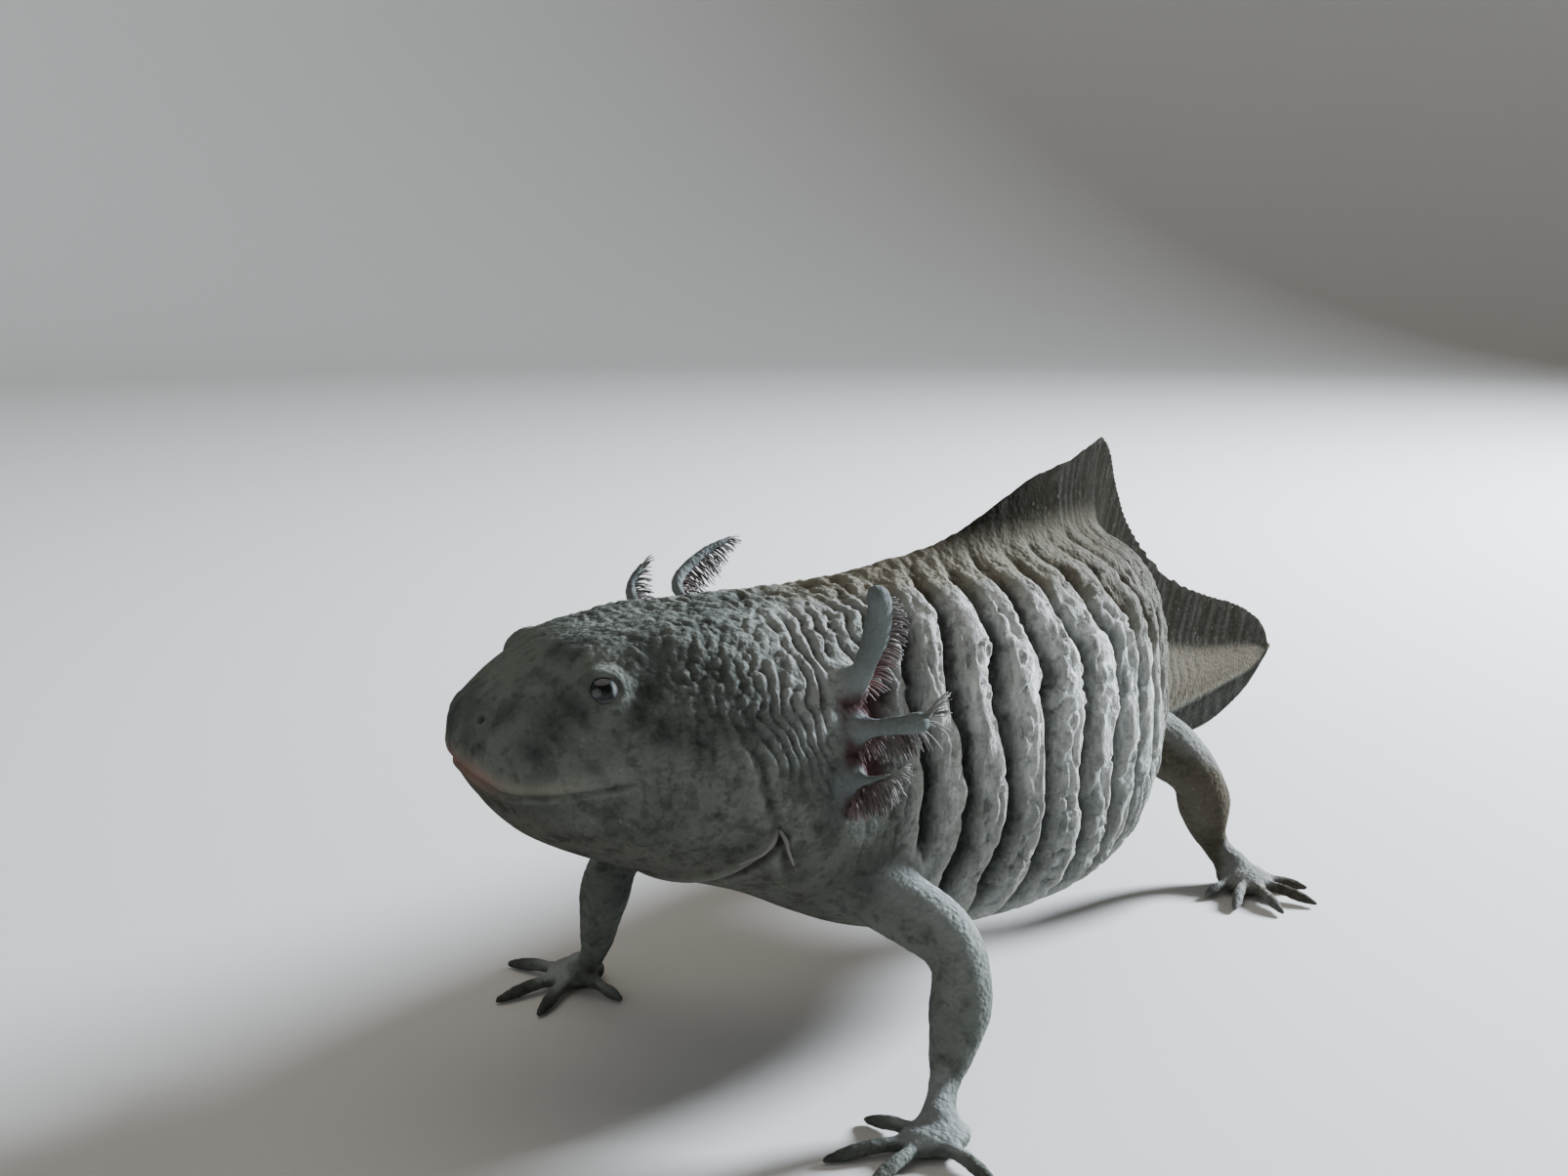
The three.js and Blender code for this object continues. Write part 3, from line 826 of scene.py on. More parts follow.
# %% Throat
# The gular fold crosses the throat, and the gill cover's edge runs up from it.
flap = station - (27.4 - 0.11 * angle)
fold = station - (31.2 + 0.14 * (angle + 10))
on_flap = fade(angle, 20, 8) * fade(angle, -50, -30)
throat = on_flap * (0.3 * bump(flap, -1.0, 1.0) - 0.35 * bump(flap, 0.3, 0.6))
gular = 0.4 * bump(fold, -1.1, 0.9) - 0.8 * bump(fold, 0.2, 0.5)
throat = throat + fade(angle, -12, -22) * gular
print("Gular fold, mm deep:", -throat.min().round(2))

# %% Forms of the head
# [how far it swells or sinks, station, its reach, angle, its reach]
HEAD_FORMS = {
    "brow": [0.7, 14, 4.5, 56, 13],
    "jaw muscle": [0.9, 22, 4, 60, 11],
    "cheek": [0.8, 24, 7, 8, 20],
    "hollow before the eye": [-0.6, 8, 4, 45, 14],
}
head_forms = sum(
    swell * bump(station, s, s_reach) * bump(angle, a, a_reach)
    for swell, s, s_reach, a, a_reach in HEAD_FORMS.values()
)
head_forms += -0.4 * bump(station, 22, 8) * bump(left, 0, 3)
head_forms += -0.5 * bump(left, 0, 1.6) * fade(station, 28, 33) * fade(station, 44, 40)
print("Forms of the head:", ", ".join(HEAD_FORMS), "and the furrow of the crown")

# %% [markdown]
# ## Eye, nostril and gill slits
#
# There is no eyelid, only a round opening whose rim holds the ball. The rim's height is
# set by the ball, not by the cheek, so that it always closes over the ball's edge. The
# nostril is a small pit, and the skin sinks in behind the stalks, where the slits open.
# Cutting real holes would leave open edges, so all of these are moves of the same skin.

# %% Rim and nostril
# [distance from the line of sight, height over the ball's centre]
rim_height = through([
    [0, 1.2], [1.1, 1.3], [1.45, 1.84], [1.85, 2.02], [2.4, 1.8], [3.3, 1.3],
])


def eye_frame(side):
    """The centre of one eye, and the direction in which it looks."""
    centre = at(EYE_STATION, side * EYE_OUT, EYE_HEIGHT)
    out = at(EYE_STATION - 1.3, side * (EYE_OUT + 5), EYE_HEIGHT + 3.4) - centre
    return centre, out / np.linalg.norm(out)


def seat_eye(points, side):
    """Moves the skin round an eye to the rim's height over the ball's centre."""
    centre, out = eye_frame(side)
    offset = points - centre
    depth = offset @ out
    r = np.linalg.norm(offset - depth[:, None] * out, axis=1)
    near = fade(r, 3.9, 2.2) * fade(depth, -1.5, -0.5)
    return points + (near * (rim_height(r) - depth))[:, None] * out


def nostril(points, side):
    """A pit with a low rim, near the tip of the snout."""
    r = np.linalg.norm(points - at(1.9, side * 5.0, 45.0), axis=1)
    return 0.15 * bump(r, 0.75, 0.35) - 0.6 * fade(r, 0.6, 0.2)


# %% Gill slits
ROOT_PART = 30  # how many of a stalk line's 120 points are near its root


def gill_slits(points, station, clear=1.8, first=37.3):
    """1 behind the stalks' roots, from the first station on and clear of the stalks."""
    roots = distance_to(points, [line[:ROOT_PART] for line, _ in gill_lines.values()])
    stalks = distance_to(points, [line[ROOT_PART:] for line, _ in gill_lines.values()])
    low = fade(points[:, 2], 47.5, 45.5) * fade(points[:, 2], 32.5, 34.5)
    behind = fade(station, first, first + 1.4)
    return fade(roots, 7, 4.5) * fade(stalks, clear, clear + 0.9) * behind * low


# %% Pressing them in
SLIT_DEPTH = 1.2
move = flank_folds + neck_folds + cheek_folds
move += nape * (0.2 - 0.3 * short_fold - 0.17 * pebble)
move += cheek * (0.06 - 0.13 * short_fold - 0.06 * pebble)
rough_skin = 0.16 - 0.34 * long_fold - 0.16 * pebble
move += trunk * (1 - 0.5 * fade(angle, 42, 62)) * (1.3 * rough_skin + 0.22 * lumps)
move += tail_folds
move += mouth + throat
move -= SLIT_DEPTH * gill_slits(points, station)
move += head_forms
move *= bare
move += (1 - bare) * (0.02 - 0.06 * grain)
move += fin_side * 0.08 * ray
for side in (1, -1):
    move += nostril(points, side)
points = points + normals_of(skin.data) * move[:, None]
for side in (1, -1):
    points = seat_eye(points, side)
points = relax(points, edges, 0.6 * fin_rim, round(14 * finer**2))
print("The skin moves, mm:", move.min().round(2), "to", move.max().round(2))

# %% Creases and crests
# A point below the level of its surroundings is in a crease, and one above is on a crest.
# Creases get painted shade, and crests a painted highlight.
level = relax(move[:, None], edges, 0.5, round(40 * finer**2))[:, 0]
for name, values in {
    "dark_side": dark_side,
    "pale_rim": pale_rim,
    "crease": np.clip((level - move) / 0.5, 0, 1),
    "crest": np.clip((move - level) / 0.35, 0, 1),
}.items():
    store(skin.data, name, values)
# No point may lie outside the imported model's box.
lowest, highest = (np.array(corner) / MM - origin for corner in cad_box)
points = np.clip(points, lowest, highest)
move_points(skin.data, points)
print("Height of the skin, mm:", points[:, 2].min().round(2), points[:, 2].max().round(2))

# %% [markdown]
# ## A lighter mesh
#
# The even mesh has more faces than it needs on smooth parts. The Decimate modifier
# collapses those first and keeps the folds, so the skin stays detailed and light.

# %% Thinning the mesh
MOST_TRIANGLES = 192000
triangles = 2 * len(skin.data.polygons)
if triangles > MOST_TRIANGLES:
    thin = skin.modifiers.new("Thin", "DECIMATE")
    thin.ratio = MOST_TRIANGLES / triangles
    applied(skin)
# The new points of collapsed faces may lie just outside the box again.
move_points(skin.data, np.clip(points_of(skin.data), lowest, highest))
for polygon in skin.data.polygons:
    polygon.use_smooth = True
skin.data.calc_loop_triangles()
print("Skin:", len(skin.data.loop_triangles), "triangles")

# %% [markdown]
# ## Marks for the colours
#
# A colour that follows the body, such as the brown of the back, could be painted by hand
# on a picture wrapped round the skin. Here each point of the mesh stores a number from 0
# to 1 for each such colour, worked out from its place on the body, and the material reads
# it. The marks are worked out on the thinned mesh, so they fit its points.

# %% Places on the thinned skin
points = points_of(skin.data)
station, left, far, angle = body_coordinates(points)
height = points[:, 2]
to_limb = distance_to(points, limb_lines)
to_gill = distance_to(points, [line[ROOT_PART:] for line, _ in gill_lines.values()])
to_tip = distance_to(points, [np.array(toe_tips)])
body_only = fade(to_limb, 3.5, 6)
on_fin = fade(far, 0.97, 1.2) * fade(np.abs(left), 10, 6) * fade(station, 44, 56) * body_only
marks = {"fin": on_fin}
print("Points that carry marks:", len(points))

# %% Marks on the head
# Dark patches before, behind and below each eye: [station, height, radius].
PATCHES = [
    [5.4, 43.0, 1.6], [7.2, 44.9, 1.7], [9.6, 46.9, 1.6], [15.6, 46.0, 1.5],
    [17.0, 48.4, 1.5], [17.6, 44.6, 1.9], [20.6, 43.4, 1.4], [12.6, 38.6, 0.9],
]
patch = np.zeros(len(points))
for at_station, at_height, radius in PATCHES:
    away = np.hypot(station - at_station, height - at_height)
    patch = np.maximum(patch, bump(away, 0, radius))
over = height - mouth_line(station)
marks["patch"] = patch * fade(angle, -10, 5)
marks["lip"] = bump(over, 0.9, 0.7) * fade(station, 12, 7) * fade(far, 1.3, 1.1)
marks["red_lip"] = bump(over, 0.2, 1.3) * fade(station, 3.4, 1.0)
marks["cheek"] = fade(station, 8, 16) * fade(station, 36, 30) * fade(angle, 58, 42)
marks["cheek"] = marks["cheek"] * fade(angle, -60, -35)
neck = fade(station, 25, 35) * fade(station, 52, 46) * fade(angle, 84, 70) * fade(angle, 4, 30)
# The pale neck is partly its own colour and partly painted light.
marks["neck"] = neck * fade(far, 1.3, 1.15)
print("Dark patches on each side of the head:", len(PATCHES))

# %% Marks on the body
# The brown of the back is partly its own warmer colour and partly painted shade. Its edge
# follows where shade falls, so it comes down further towards the tail, which is brown all
# round. The rear of the back is darker still, as painted shade.
brown_shade_edge = through([
    [34, 74], [59, 65], [70, 51], [78, 31], [88, 8], [102, -18], [125, -60],
])
brown = fade(angle - brown_shade_edge(station), -12, 10) * fade(station, 32, 46)
flank = fade(station, 44, 52) * fade(station, 150, 120) * fade(angle, 74, 50)
marks["under"] = fade(angle, 5, -45) * fade(far, 1.4, 1.1) * body_only
marks["back"] = brown
marks["rear_back"] = brown * fade(station, 56, 92)
# The pale flank is partly the skin's own paler grey and partly painted light.
marks["flank"] = flank * fade(angle, -80, -30) * body_only * (1 - on_fin)
# Painted shade on the lower flank.
marks["low_flank"] = flank * fade(angle, 25, -25) * fade(angle, -80, -40) * body_only
print("Share of the skin that is brown:", round(float((brown > 0.5).mean()), 2))

# %% Marks on the legs and gills
# Painted light pales the upward faces of the legs. The toes are dark, and the skin in the
# gill slits red, which reaches onto the stalks' rear roots as painted shade.
upward = fade(normals_of(skin.data)[:, 2], 0.15, 0.75)
# Painted highlight on the legs' upward faces.
marks["limb_top"] = upward * fade(to_limb, 6.5, 4.5) * fade(far, 0.95, 1.15)
marks["toe"] = fade(to_tip, 6, 1.5)
marks["gill"] = fade(to_gill, 3.0, 2.2)
# Dark red in the gill slits, reaching onto the stalks' rear roots as painted shade.
marks["gill_root"] = gill_slits(points, station, clear=1.2, first=36.6)
for name, values in marks.items():
    store(skin.data, name, values)
print("Marks stored:", [a.name for a in skin.data.attributes if a.domain == "POINT"])

# %% The skin's place
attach(skin, "root")
flesh = [name for name in frame["nodes"] if not name.startswith("eye_")]
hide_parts(*flesh)
print("Nodes that the skin stands for:", len(flesh))

# %% [markdown]
# ## Eyes
#
# An axolotl's eye is a small ball almost flush with the head, with no lids: only a rim of
# skin. The museum way is a glass ball painted from behind. Here the ball's own points
# store how far they are from the line of sight, and the paint follows that.

# %% The eyeballs
EYE_INSIDE = EYE_RADIUS + 1  # stored for the hidden half of the ball


def eyeball(name, side):
    """One ball, which stores how far each point is from the line of sight, in mm."""
    centre, out = eye_frame(side)
    across = np.cross(out, [0, 0, 1.0])
    across /= np.linalg.norm(across)
    up = np.cross(across, out)
    mesh = bmesh.new()

    def place(share, angle):
        ring = np.sin(np.pi * share)
        spot = out * (np.cos(np.pi * share))[:, None]
        spot = spot + across * (ring * np.cos(angle))[:, None]
        return centre + EYE_RADIUS * (spot + up * (ring * np.sin(angle))[:, None])

    ball(mesh, 64, 48, place)
    bmesh.ops.recalc_face_normals(mesh, faces=mesh.faces)
    eye = object_of(mesh, name)
    points = points_of(eye.data) - centre
    depth = points @ out
    sideways = np.linalg.norm(points - depth[:, None] * out, axis=1)
    store(eye.data, "from_sight", np.where(depth > 0, sideways, EYE_INSIDE))
    # A painted highlight: a pale crescent at the rear of the iris.
    rear = (points @ tailward(EYE_STATION)) / np.maximum(sideways, 0.01)
    crescent_highlight = bump(sideways / EYE_RADIUS, 0.50, 0.09) * fade(rear, 0.2, 0.75)
    store(eye.data, "rear_gleam", crescent_highlight * (depth > 0))
    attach(eye, "root")
    return eye


eyes = [eyeball("eyeball_left", 1), eyeball("eyeball_right", -1)]
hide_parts("eye_left")
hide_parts("eye_right")
print("Eyes:", [eye.name for eye in eyes], "of", EYE_RADIUS * 2, "mm")

# %% [markdown]
# ## Gill filaments
#
# The red of the gills is blood in two rows of fine filaments on each stalk's rear edge.
# Each is a soft thread about 3 mm long that bends with its own weight. Hair curves could
# make them, but a solid mesh keeps its shape wherever the model goes. All of them are
# joined in one mesh, so the shape repeated hundreds of times has only 40 faces. Their
# paint map unwraps the stalks: one strip for each stalk and a small patch at each root.

# %% One thread's patch of the paint map
FILAMENTS = 78
FILAMENT_RADIUS = 0.1
PATCH = 0.003
filaments = bmesh.new()
layer = filaments.loops.layers.uv.new("OFBake")
out_layer = filaments.verts.layers.float.new("out_along")
tip_layer = filaments.verts.layers.float.new("near_tip")


def lay_flat(verts, start, corner, reach, near_tip):
    """Gives one thread its patch of the paint map and its place for the colours."""
    for vert in verts:
        vert[out_layer] = min(1.0, float(np.linalg.norm(np.array(vert.co) - start) / reach))
        vert[tip_layer] = near_tip
    for face in {face for vert in verts for face in vert.link_faces}:
        for loop in face.loops:
            round_it = (loop.vert.index % 5) / 5
            loop[layer].uv = corner + Vector((loop.vert[out_layer], round_it)) * PATCH


# %% The way a thread grows
def thread_way(recipe, axes, tangent, edge, at_tip, wobble, sweep):
    """The direction of a thread: it hangs, but at the stalk's tip it fans out.

    The two rows (edge -1 and 1) spread to both sides, and noise tousles each thread.
    """
    hang = np.array(recipe["hang"]) @ axes
    hang -= 0.8 * tangent * (hang @ tangent)
    hang = hang / np.linalg.norm(hang) + 0.25 * tangent
    hang = (1 - at_tip) * hang + at_tip * np.array(recipe["tip"]) @ axes
    across = np.cross(tangent, hang)
    spread = 0.28 + 0.3 * wobble + 0.25 * at_tip
    way = hang + across * edge * spread + tangent * 0.4 * sweep
    way[2] += 0.9 * at_tip * sweep
    return way / np.linalg.norm(way)


# %% Threads along each stalk
THREAD_SHAPE = [[0, FILAMENT_RADIUS], [0.6, FILAMENT_RADIUS * 0.9], [1, 0.06]]
for strip, recipe in enumerate(GILLS):
    line, stalk = gill_lines[recipe["side"], recipe["name"]]
    tangent = directions(line)
    behind = tailward(recipe["station"])
    outward = recipe["side"] * np.array([behind[1], -behind[0], 0])
    axes = np.array([behind, outward, [0, 0, 1]])
    for i in range(FILAMENTS):
        for edge in (-1, 1):
            t = 0.1 + 0.88 * (max(0, i + 0.25 * edge) / (FILAMENTS - 1)) ** 0.85
            k = int(np.clip(t, 0, 1) * (len(line) - 1))
            seed = Vector((i * 0.71, edge * 3.0, strip * 5.3))
            wobble, sweep = noise.noise(seed), noise.noise(seed + Vector((9, 9, 9)))
            at_tip = float(fade(t, 0.78, 0.97))
            way = thread_way(recipe, axes, tangent[k], edge, at_tip, wobble, sweep)
            length = recipe["length"] * (0.7 + 0.3 * math.sin(math.pi * min(1, t * 1.1)))
            length *= (1 + 0.3 * wobble) * (1 + at_tip * (recipe["flare"] - 1))
            start = line[k] + way * stalk * 0.3 * (1 - at_tip)
            bend = start + way * length * 0.55
            end = start + way * length + np.array([0, 0, -0.16 * length])
            verts = bar(filaments, [start, bend, end], THREAD_SHAPE, around=5, along=8)
            corner = Vector((0.04 + 0.9 * t, 0.08 + 0.15 * strip + 0.02 * edge))
            lay_flat(verts, start, corner, length, t)
print("Filaments:", len(GILLS) * FILAMENTS * 2, "with", len(filaments.faces), "faces")

# %% [markdown]
# ## Whiskers of the gill covers
#
# The free lower edge of each gill cover ends in two pale, soft whiskers. They are too thin
# for the fused skin, whose even faces would break them up, so they are smooth bars in the
# same mesh as the filaments.

# %% Whiskers
# The points of each are [station, out, height].
WHISKERS = [
    [[29, 19.0, 33.6], [28.1, 19.7, 32.4], [27.4, 19.3, 31.3], [26.3, 18.0, 30.3],
     [25.6, 17.0, 29.6]],
    [[29.4, 18.6, 33.4], [30.2, 18.6, 32], [30.8, 18.0, 30.6], [31.6, 17.6, 28.8]],
]
WHISKER_SHAPE = [[0, 0.2], [0.4, 0.24], [1, 0.1]]
WHISKER_PALENESS = 0.88
WHISKER_LENGTH = 6.0
for strip, side in enumerate((1, -1)):
    for row_number, row in enumerate(WHISKERS):
        points = [at(place, side * out, up) for place, out, up in row]
        verts = bar(filaments, points, WHISKER_SHAPE, around=8, along=24)
        corner = Vector((0.1 + 0.2 * row_number, 0.96 + 0.015 * strip))
        lay_flat(verts, points[0], corner, WHISKER_LENGTH, WHISKER_PALENESS)
print("With whiskers:", len(filaments.faces), "faces")

# %% Their place
gill_filaments = object_of(filaments, "gill_filaments")
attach(gill_filaments, "root")
print("Paint map:", gill_filaments.data.uv_layers[0].name)

# %% [markdown]
# ## Finishes
#
# Each finish starts from what the surface really is. One function turns a hex colour into
# Blender's linear values, and one adds a node. A painted surface is built up as a painter
# would: coats of colour, each laid through a mask that says where it covers and how well.

# %% A colour and a node
def colour(code):
    """An sRGB hex colour as linear RGBA."""
    parts = [int(code[i : i + 2], 16) / 255 for i in (1, 3, 5)]
    return (*[c / 12.92 if c <= 0.04045 else ((c + 0.055) / 1.055) ** 2.4 for c in parts], 1)


def node(material, kind, settings=None, inputs=None):
    """Adds a node; each input takes a value, a hex colour or another node's output."""
    made = material.node_tree.nodes.new(kind)
    for key, value in (settings or {}).items():
        setattr(made, key, value)
    for key, value in (inputs or {}).items():
        if isinstance(value, bpy.types.NodeSocket):
            material.node_tree.links.new(value, made.inputs[key])
        else:
            made.inputs[key].default_value = colour(value) if isinstance(value, str) else value
    return made


def new_material(name, finish):
    """A material and its shader, with the inputs that are the same all over."""
    material = bpy.data.materials.new(name)
    material.use_nodes = True
    shader = material.node_tree.nodes["Principled BSDF"]
    for key, value in finish.items():
        shader.inputs[key].default_value = value
    return material, shader


# %% Masks and coats
def blotches(material, size_mm, detail, start, end, seed):
    """Soft blotches of a given size, which cover where a noise rises from start to end."""
    place = node(material, "ShaderNodeTexCoord").outputs["Object"]
    spots = node(
        material, "ShaderNodeTexNoise", {"noise_dimensions": "4D"},
        {"Vector": place, "Scale": 1 / (size_mm * MM), "Detail": detail,
         "Roughness": 0.55, "W": seed},
    )
    return node(
        material, "ShaderNodeMapRange", {"interpolation_type": "SMOOTHSTEP"},
        {"Value": spots.outputs["Fac"], "From Min": start, "From Max": end},
    ).outputs["Result"]


def mask(material, source, strength=1.0, offset=0.0):
    """Where a coat covers, from 0 to 1.

    The source is the name of a stored mark, the measures of blotches in a tuple, another
    node's output, or a list of two of these, which are multiplied.
    """
    if isinstance(source, str):
        source = node(material, "ShaderNodeAttribute", {"attribute_name": source})
        source = source.outputs["Fac"]
    elif isinstance(source, tuple):
        source = blotches(material, *source)
    elif isinstance(source, list):
        first, second = (mask(material, part) for part in source)
        source = node(material, "ShaderNodeMath", {"operation": "MULTIPLY"},
                      {0: first, 1: second}).outputs[0]
    return node(
        material, "ShaderNodeMath", {"operation": "MULTIPLY_ADD", "use_clamp": True},
        {0: source, 1: strength, 2: offset},
    ).outputs[0]


def coats(material, base, layers):
    """Lays coats over a base colour: each is a colour, a mask's source and its strength."""
    for code, source, *cover in layers:
        base = node(
            material, "ShaderNodeMix", {"data_type": "RGBA"},
            {0: mask(material, source, *cover), 6: base, 7: code},
        ).outputs[2]
    return base


def ramp_stops(ramp, stops):
    """Sets a colour ramp's stops: (place, value or hex colour)."""
    elements = ramp.color_ramp.elements
    while len(elements) < len(stops):
        elements.new(0.5)
    for element, (place, value) in zip(elements, stops):
        element.position = place
        element.color = colour(value) if isinstance(value, str) else (value, value, value, 1)


# %% [markdown]
# ### Amphibian skin
#
# Wild axolotls are grey-brown with darker blotches and tiny pale flecks, warmer on the
# back and fins and paler on the ridges of the flanks. The paleness of the flanks and neck
# is partly painted light, and the coats add painted shade and painted highlights to the
# ridges, creases, low flank, fin and rear of the back. The skin is soft and bare. In air
# it would be wet and shine, but in the water, where the animal lives, its slime shows no
# gloss at all, so the specular level is 0 and all its form shows by light and shade. A
# little light passes through its outer layer.

# %% Moist skin, matte under water
moist_skin, shader = new_material("moist_amphibian_skin", {
    "Roughness": 0.5, "IOR": 1.4, "Specular IOR Level": 0.0, "Subsurface Weight": 0.05,
    "Subsurface Radius": (0.6, 0.5, 0.4), "Subsurface Scale": 0.001,
})
place = node(moist_skin, "ShaderNodeTexCoord").outputs["Object"]

# On the flank, strands 1.2 mm wide and three times as high run down each ridge.
upright = node(moist_skin, "ShaderNodeMapping", {}, {"Vector": place, "Scale": (1, 1, 0.35)})
strands = node(
    moist_skin, "ShaderNodeTexNoise", {},
    {"Vector": upright.outputs["Vector"], "Scale": 1 / (1.2 * MM), "Detail": 5,
     "Roughness": 0.65},
).outputs["Fac"]
dark_streak, pale_streak = (
    node(moist_skin, "ShaderNodeMapRange", {},
         {"Value": strands, "From Min": start, "From Max": end}).outputs["Result"]
    for start, end in ((0.5, 0.38), (0.52, 0.62))
)
print("Skin: shader", shader.name, "with streaks along the ridges")

# %% Its coats of colour
# Each coat is a colour, what masks it and how much it covers. Blotches are measured as
# (size in mm, detail, the noise at which they start, and are full, seed).
SKIN_BASE = "#5E625C"
SKIN_COATS = [
    ("#494D49", (9, 4, 0.42, 0.62, 1.0)),
    ("#4E4D45", "under", 0.7),
    ("#22241F", ["cheek", (1.3, 4, 0.50, 0.60, 11.0)], 0.36),
    ("#242522", (3.2, 5, 0.50, 0.62, 4.0), 0.35),
    # Pale flank: partly the skin's own paler grey, partly painted light.
    ("#CED0CB", "flank", 0.9),
    ("#7E8382", ["flank", dark_streak], 0.6),
    ("#E6E6DF", ["flank", pale_streak], 0.6),
    # Pale neck: partly its own colour, partly painted light.
    ("#999B97", "neck", 0.5),
    # Painted shade on the lower flank.
    ("#434846", "low_flank", 0.65),
    # Painted shade on each ridge's side towards the head.
    ("#2F3433", "dark_side", 0.78),
    # Painted highlight on each ridge's rim towards the tail.
    ("#D9D5C8", "pale_rim", 0.4),
    # The back's brown: partly its own warmer colour, partly painted shade.
    ("#756E5F", "back", 0.8),
    # Painted shade on the rear of the back.
    ("#342F27", "rear_back", 0.8),
    # The fin's near-black is partly its own brown and partly painted shade.
    ("#14130F", "fin", 0.95),
    ("#262522", (1.3, 4, 0.52, 0.66, 7.0), 0.4),
    ("#1C1E1E", "patch", 0.7),
    ("#827F74", (0.8, 2, 0.62, 0.76, 11.0), 0.22),
    # Painted highlight on the crests, and painted shade in the creases.
    ("#7A7B73", "crest", 0.45),
    ("#1D1C1A", "crease", 0.7),
    ("#857E6E", "lip", 0.34),
    ("#8F6659", "red_lip", 0.36),
    ("#616665", "gill", 0.7),
    # The slits' own red, and painted shade on the stalks' rear roots.
    ("#3B2828", "gill_root", 0.9),
    # Painted highlight on the legs' upward faces.
    ("#A3A8A6", "limb_top", 0.3),
    ("#34332F", "toe", 0.5),
]
painted = coats(moist_skin, SKIN_BASE, SKIN_COATS)
moist_skin.node_tree.links.new(painted, shader.inputs["Base Color"])
print("Coats on the skin:", len(SKIN_COATS))

# %% Its finest relief
# Glands are a third of a millimetre across, and are drawn at 0.6 mm so that they show.
glands = node(
    moist_skin, "ShaderNodeTexVoronoi", {"feature": "SMOOTH_F1"},
    {"Vector": place, "Scale": 1 / (0.6 * MM), "Smoothness": 0.6},
)
grain = node(
    moist_skin, "ShaderNodeTexNoise", {},
    {"Vector": place, "Scale": 1 / (1.0 * MM), "Detail": 5, "Roughness": 0.65},
)
pebbled = node(
    moist_skin, "ShaderNodeMath", {"operation": "MULTIPLY_ADD"},
    {0: glands.outputs["Distance"], 1: -0.6, 2: grain.outputs["Fac"]},
)
stranded = node(
    moist_skin, "ShaderNodeMath", {"operation": "ADD", "use_clamp": True},
    {0: mask(moist_skin, "flank"), 1: mask(moist_skin, "fin", 0.15)},
)
strand_height = node(
    moist_skin, "ShaderNodeMath", {"operation": "MULTIPLY"},
    {0: strands, 1: stranded.outputs[0]},
)
fine = node(
    moist_skin, "ShaderNodeMath", {"operation": "MULTIPLY_ADD"},
    {0: strand_height.outputs[0], 1: 4.0, 2: pebbled.outputs[0]},
)
off_fin = node(
    moist_skin, "ShaderNodeMath", {"operation": "MULTIPLY"},
    {0: fine.outputs[0], 1: mask(moist_skin, "fin", -0.55, 1.0)},
)
relief = node(
    moist_skin, "ShaderNodeBump", {},
    {"Height": off_fin.outputs[0], "Strength": 0.85, "Distance": 0.0004},
)
moist_skin.node_tree.links.new(relief.outputs["Normal"], shader.inputs["Normal"])
skin.data.materials.clear()
skin.data.materials.append(moist_skin)
print("Nodes in the skin's material:", len(moist_skin.node_tree.nodes))

# %% [markdown]
# ### The eye's glass
#
# A glass eye is blown, and painted behind: a black pupil, a fine grey ring round it, and a
# dark iris with few silver flecks. A pale crescent at its rear is a painted highlight. The
# polished glass gives the sharp highlight of a wet eye.

# %% Painted glass
eye_glass, shader = new_material("painted_eye_glass", {"Roughness": 0.08, "IOR": 1.5})
share = mask(eye_glass, "from_sight", 1 / EYE_RADIUS)
rings = node(eye_glass, "ShaderNodeValToRGB", {}, {"Fac": share})
ramp_stops(rings, [
    (0.0, "#030404"), (0.31, "#040505"), (0.34, "#2A2D2A"), (0.385, "#14181A"),
    (0.50, "#181D20"), (0.60, "#101314"), (1.0, "#0B0C0E"),
])
iris_only = node(eye_glass, "ShaderNodeValToRGB", {}, {"Fac": share})
ramp_stops(iris_only, [(0.33, 0.0), (0.38, 1.0), (0.54, 1.0), (0.62, 0.0)])
painted = coats(eye_glass, rings.outputs["Color"], [
    ("#6C7476", [(0.35, 3, 0.5, 0.66, 3.0), iris_only.outputs["Color"]], 0.1),
    # Painted highlight: the pale crescent at the iris's rear.
    ("#DDE8EE", "rear_gleam"),
])
eye_glass.node_tree.links.new(painted, shader.inputs["Base Color"])
for eye in eyes:
    eye.data.materials.append(eye_glass)
print("Nodes in the eye's material:", len(eye_glass.node_tree.nodes))

# %% [markdown]
# ### Gill filaments
#
# Thin skin over blood: dull red at the stalk's root, and greyer towards its tip and along
# each thread. The whiskers, which count as near the tip, come out pale.

# %% Blood-red threads
gill_skin, shader = new_material("gill_filament_skin", {
    "Roughness": 0.45, "IOR": 1.4, "Specular IOR Level": 0.1,
})
painted = coats(gill_skin, "#6E4644", [
    ("#4C4340", "near_tip", 2.6, -0.5),
    ("#66605C", "out_along", 0.75),
    ("#352B29", (2.2, 3, 0.42, 0.60, 5.0), 0.6),
    ("#74756F", "near_tip", 3.5, -2.5),
])
gill_skin.node_tree.links.new(painted, shader.inputs["Base Color"])
gill_filaments.data.materials.append(gill_skin)
print("Nodes in the threads' material:", len(gill_skin.node_tree.nodes))

# %% [markdown]
# ## Floor, light and camera
#
# A plain pale floor whose edge sweeps up all round, as studio backdrops do, so that no
# line shows behind the animal. A soft light low on the animal's left and behind it
# catches the ridges, and weak ones hang overhead and in front. The camera looks down a
# little at the head's left side.

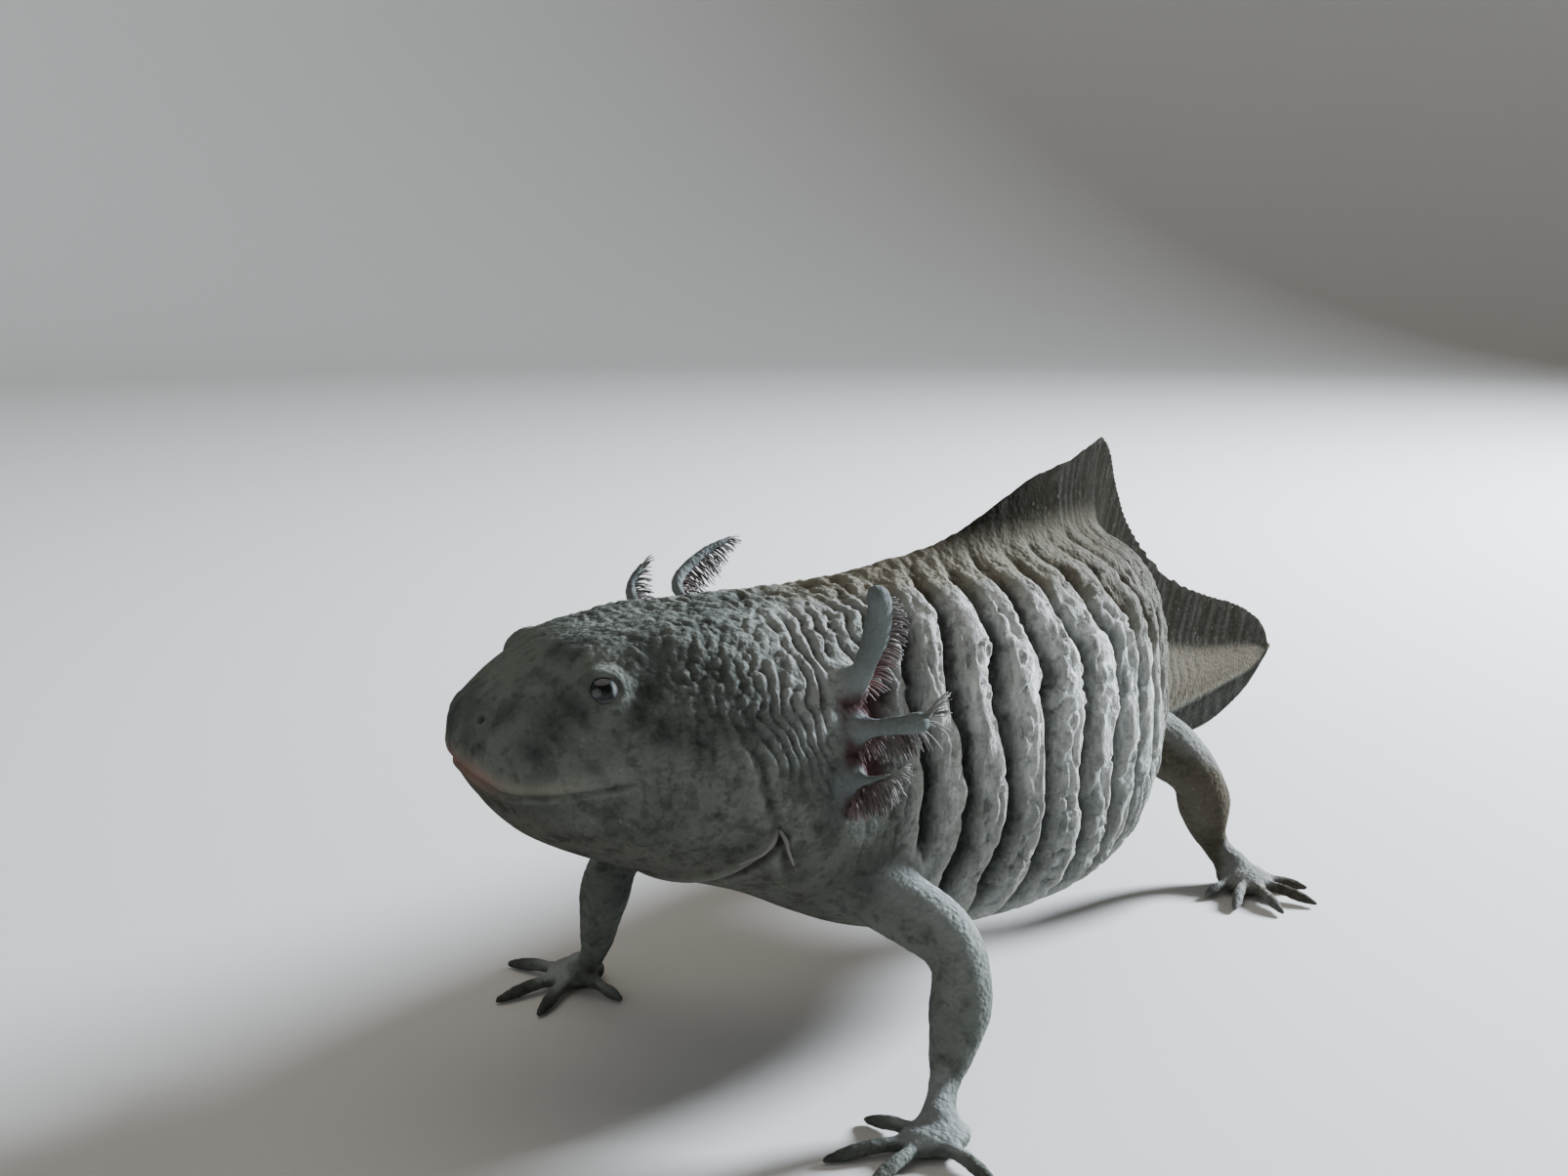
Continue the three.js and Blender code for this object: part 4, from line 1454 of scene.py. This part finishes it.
# %% Floor
FLOOR_RADIUS, SWEEP_RADIUS, WALL_TOP = 1.0, 0.5, 1.1
floor_mesh = bmesh.new()
profile = [(0.0, 0.0), (FLOOR_RADIUS, 0.0)]
profile += [
    (FLOOR_RADIUS + SWEEP_RADIUS * math.sin(a), SWEEP_RADIUS - SWEEP_RADIUS * math.cos(a))
    for a in np.linspace(0.1, 1.5, 15)
]
profile += [(FLOOR_RADIUS + SWEEP_RADIUS, WALL_TOP)]
rim = [floor_mesh.verts.new((out, 0, up)) for out, up in profile]
for pair in zip(rim, rim[1:]):
    floor_mesh.edges.new(pair)
bmesh.ops.spin(
    floor_mesh, geom=floor_mesh.verts[:] + floor_mesh.edges[:], axis=(0, 0, 1),
    angle=2 * math.pi, steps=96, use_merge=True,
)
bmesh.ops.remove_doubles(floor_mesh, verts=floor_mesh.verts, dist=1e-5)
bmesh.ops.recalc_face_normals(floor_mesh, faces=floor_mesh.faces)
floor_data = bpy.data.meshes.new("floor")
floor_mesh.to_mesh(floor_data)
floor_mesh.free()
for polygon in floor_data.polygons:
    polygon.use_smooth = True
floor = new_object("floor", floor_data)
floor_paint, _ = new_material("pale_floor_paint", {
    "Base Color": colour("#B9B7B2"), "Roughness": 0.8,
})
floor_data.materials.append(floor_paint)
print("Floor:", len(floor_data.polygons), "faces")

# %% Lights
CAMERA_TURN = math.radians(-65)
AIM_HEIGHT = 0.035
centre = Vector(((cad_box[0][0] + cad_box[1][0]) / 2, 0, AIM_HEIGHT))

# Metres to the right as the camera sees it, beyond and above the animal; watts.
LIGHTS = {
    "key": dict(side=0.62, behind=0.33, up=0.3, size=0.21, power=46, tint="#E6F0FF"),
    "overhead": dict(side=-0.1, behind=0.1, up=1.1, size=1.2, power=4, tint="#FFF6EA"),
    "front": dict(side=-0.5, behind=-0.9, up=0.5, size=0.9, power=1.5, tint="#FFFFFF"),
}
right = Vector((math.cos(CAMERA_TURN), math.sin(CAMERA_TURN), 0))
beyond = Vector((-right.y, right.x, 0))
for name, recipe in LIGHTS.items():
    lamp_data = bpy.data.lights.new(name, "AREA")
    lamp_data.shape = "DISK"
    lamp_data.size = recipe["size"]
    lamp_data.energy = recipe["power"]
    lamp_data.color = colour(recipe["tint"])[:3]
    lamp = new_object(name, lamp_data)
    lamp.location = centre + right * recipe["side"] + beyond * recipe["behind"]
    lamp.location += Vector((0, 0, recipe["up"]))
    lamp.rotation_euler = (centre - lamp.location).to_track_quat("-Z", "Y").to_euler()
world = bpy.data.worlds.new("studio")
bpy.context.scene.world = world
world.use_nodes = True
sky = world.node_tree.nodes["Background"]
sky.inputs["Color"].default_value = colour("#D8DADC")
sky.inputs["Strength"].default_value = 0.19
print("Lights:", ", ".join(LIGHTS))

# %% Camera
SENSOR = 36
IMAGE_WIDTH, FOCAL = 1606, 2100  # the picture's width, and the focal length to scale
CAMERA_PLACE = [-175.8, -120.8, 97.0]  # mm from the floor below the snout
CAMERA_TILT = 10.44  # degrees down
camera_data = bpy.data.cameras.new("camera")
camera_data.sensor_width = SENSOR
camera_data.lens = SENSOR * FOCAL / IMAGE_WIDTH
camera_data.clip_start = 0.01
camera = new_object("camera", camera_data)
camera.location = (np.array(CAMERA_PLACE) + origin) * MM
camera.rotation_euler = (math.radians(90 - CAMERA_TILT), 0, CAMERA_TURN)
bpy.context.scene.camera = camera
print("Camera, mm:", [round(v / MM, 1) for v in camera.location])
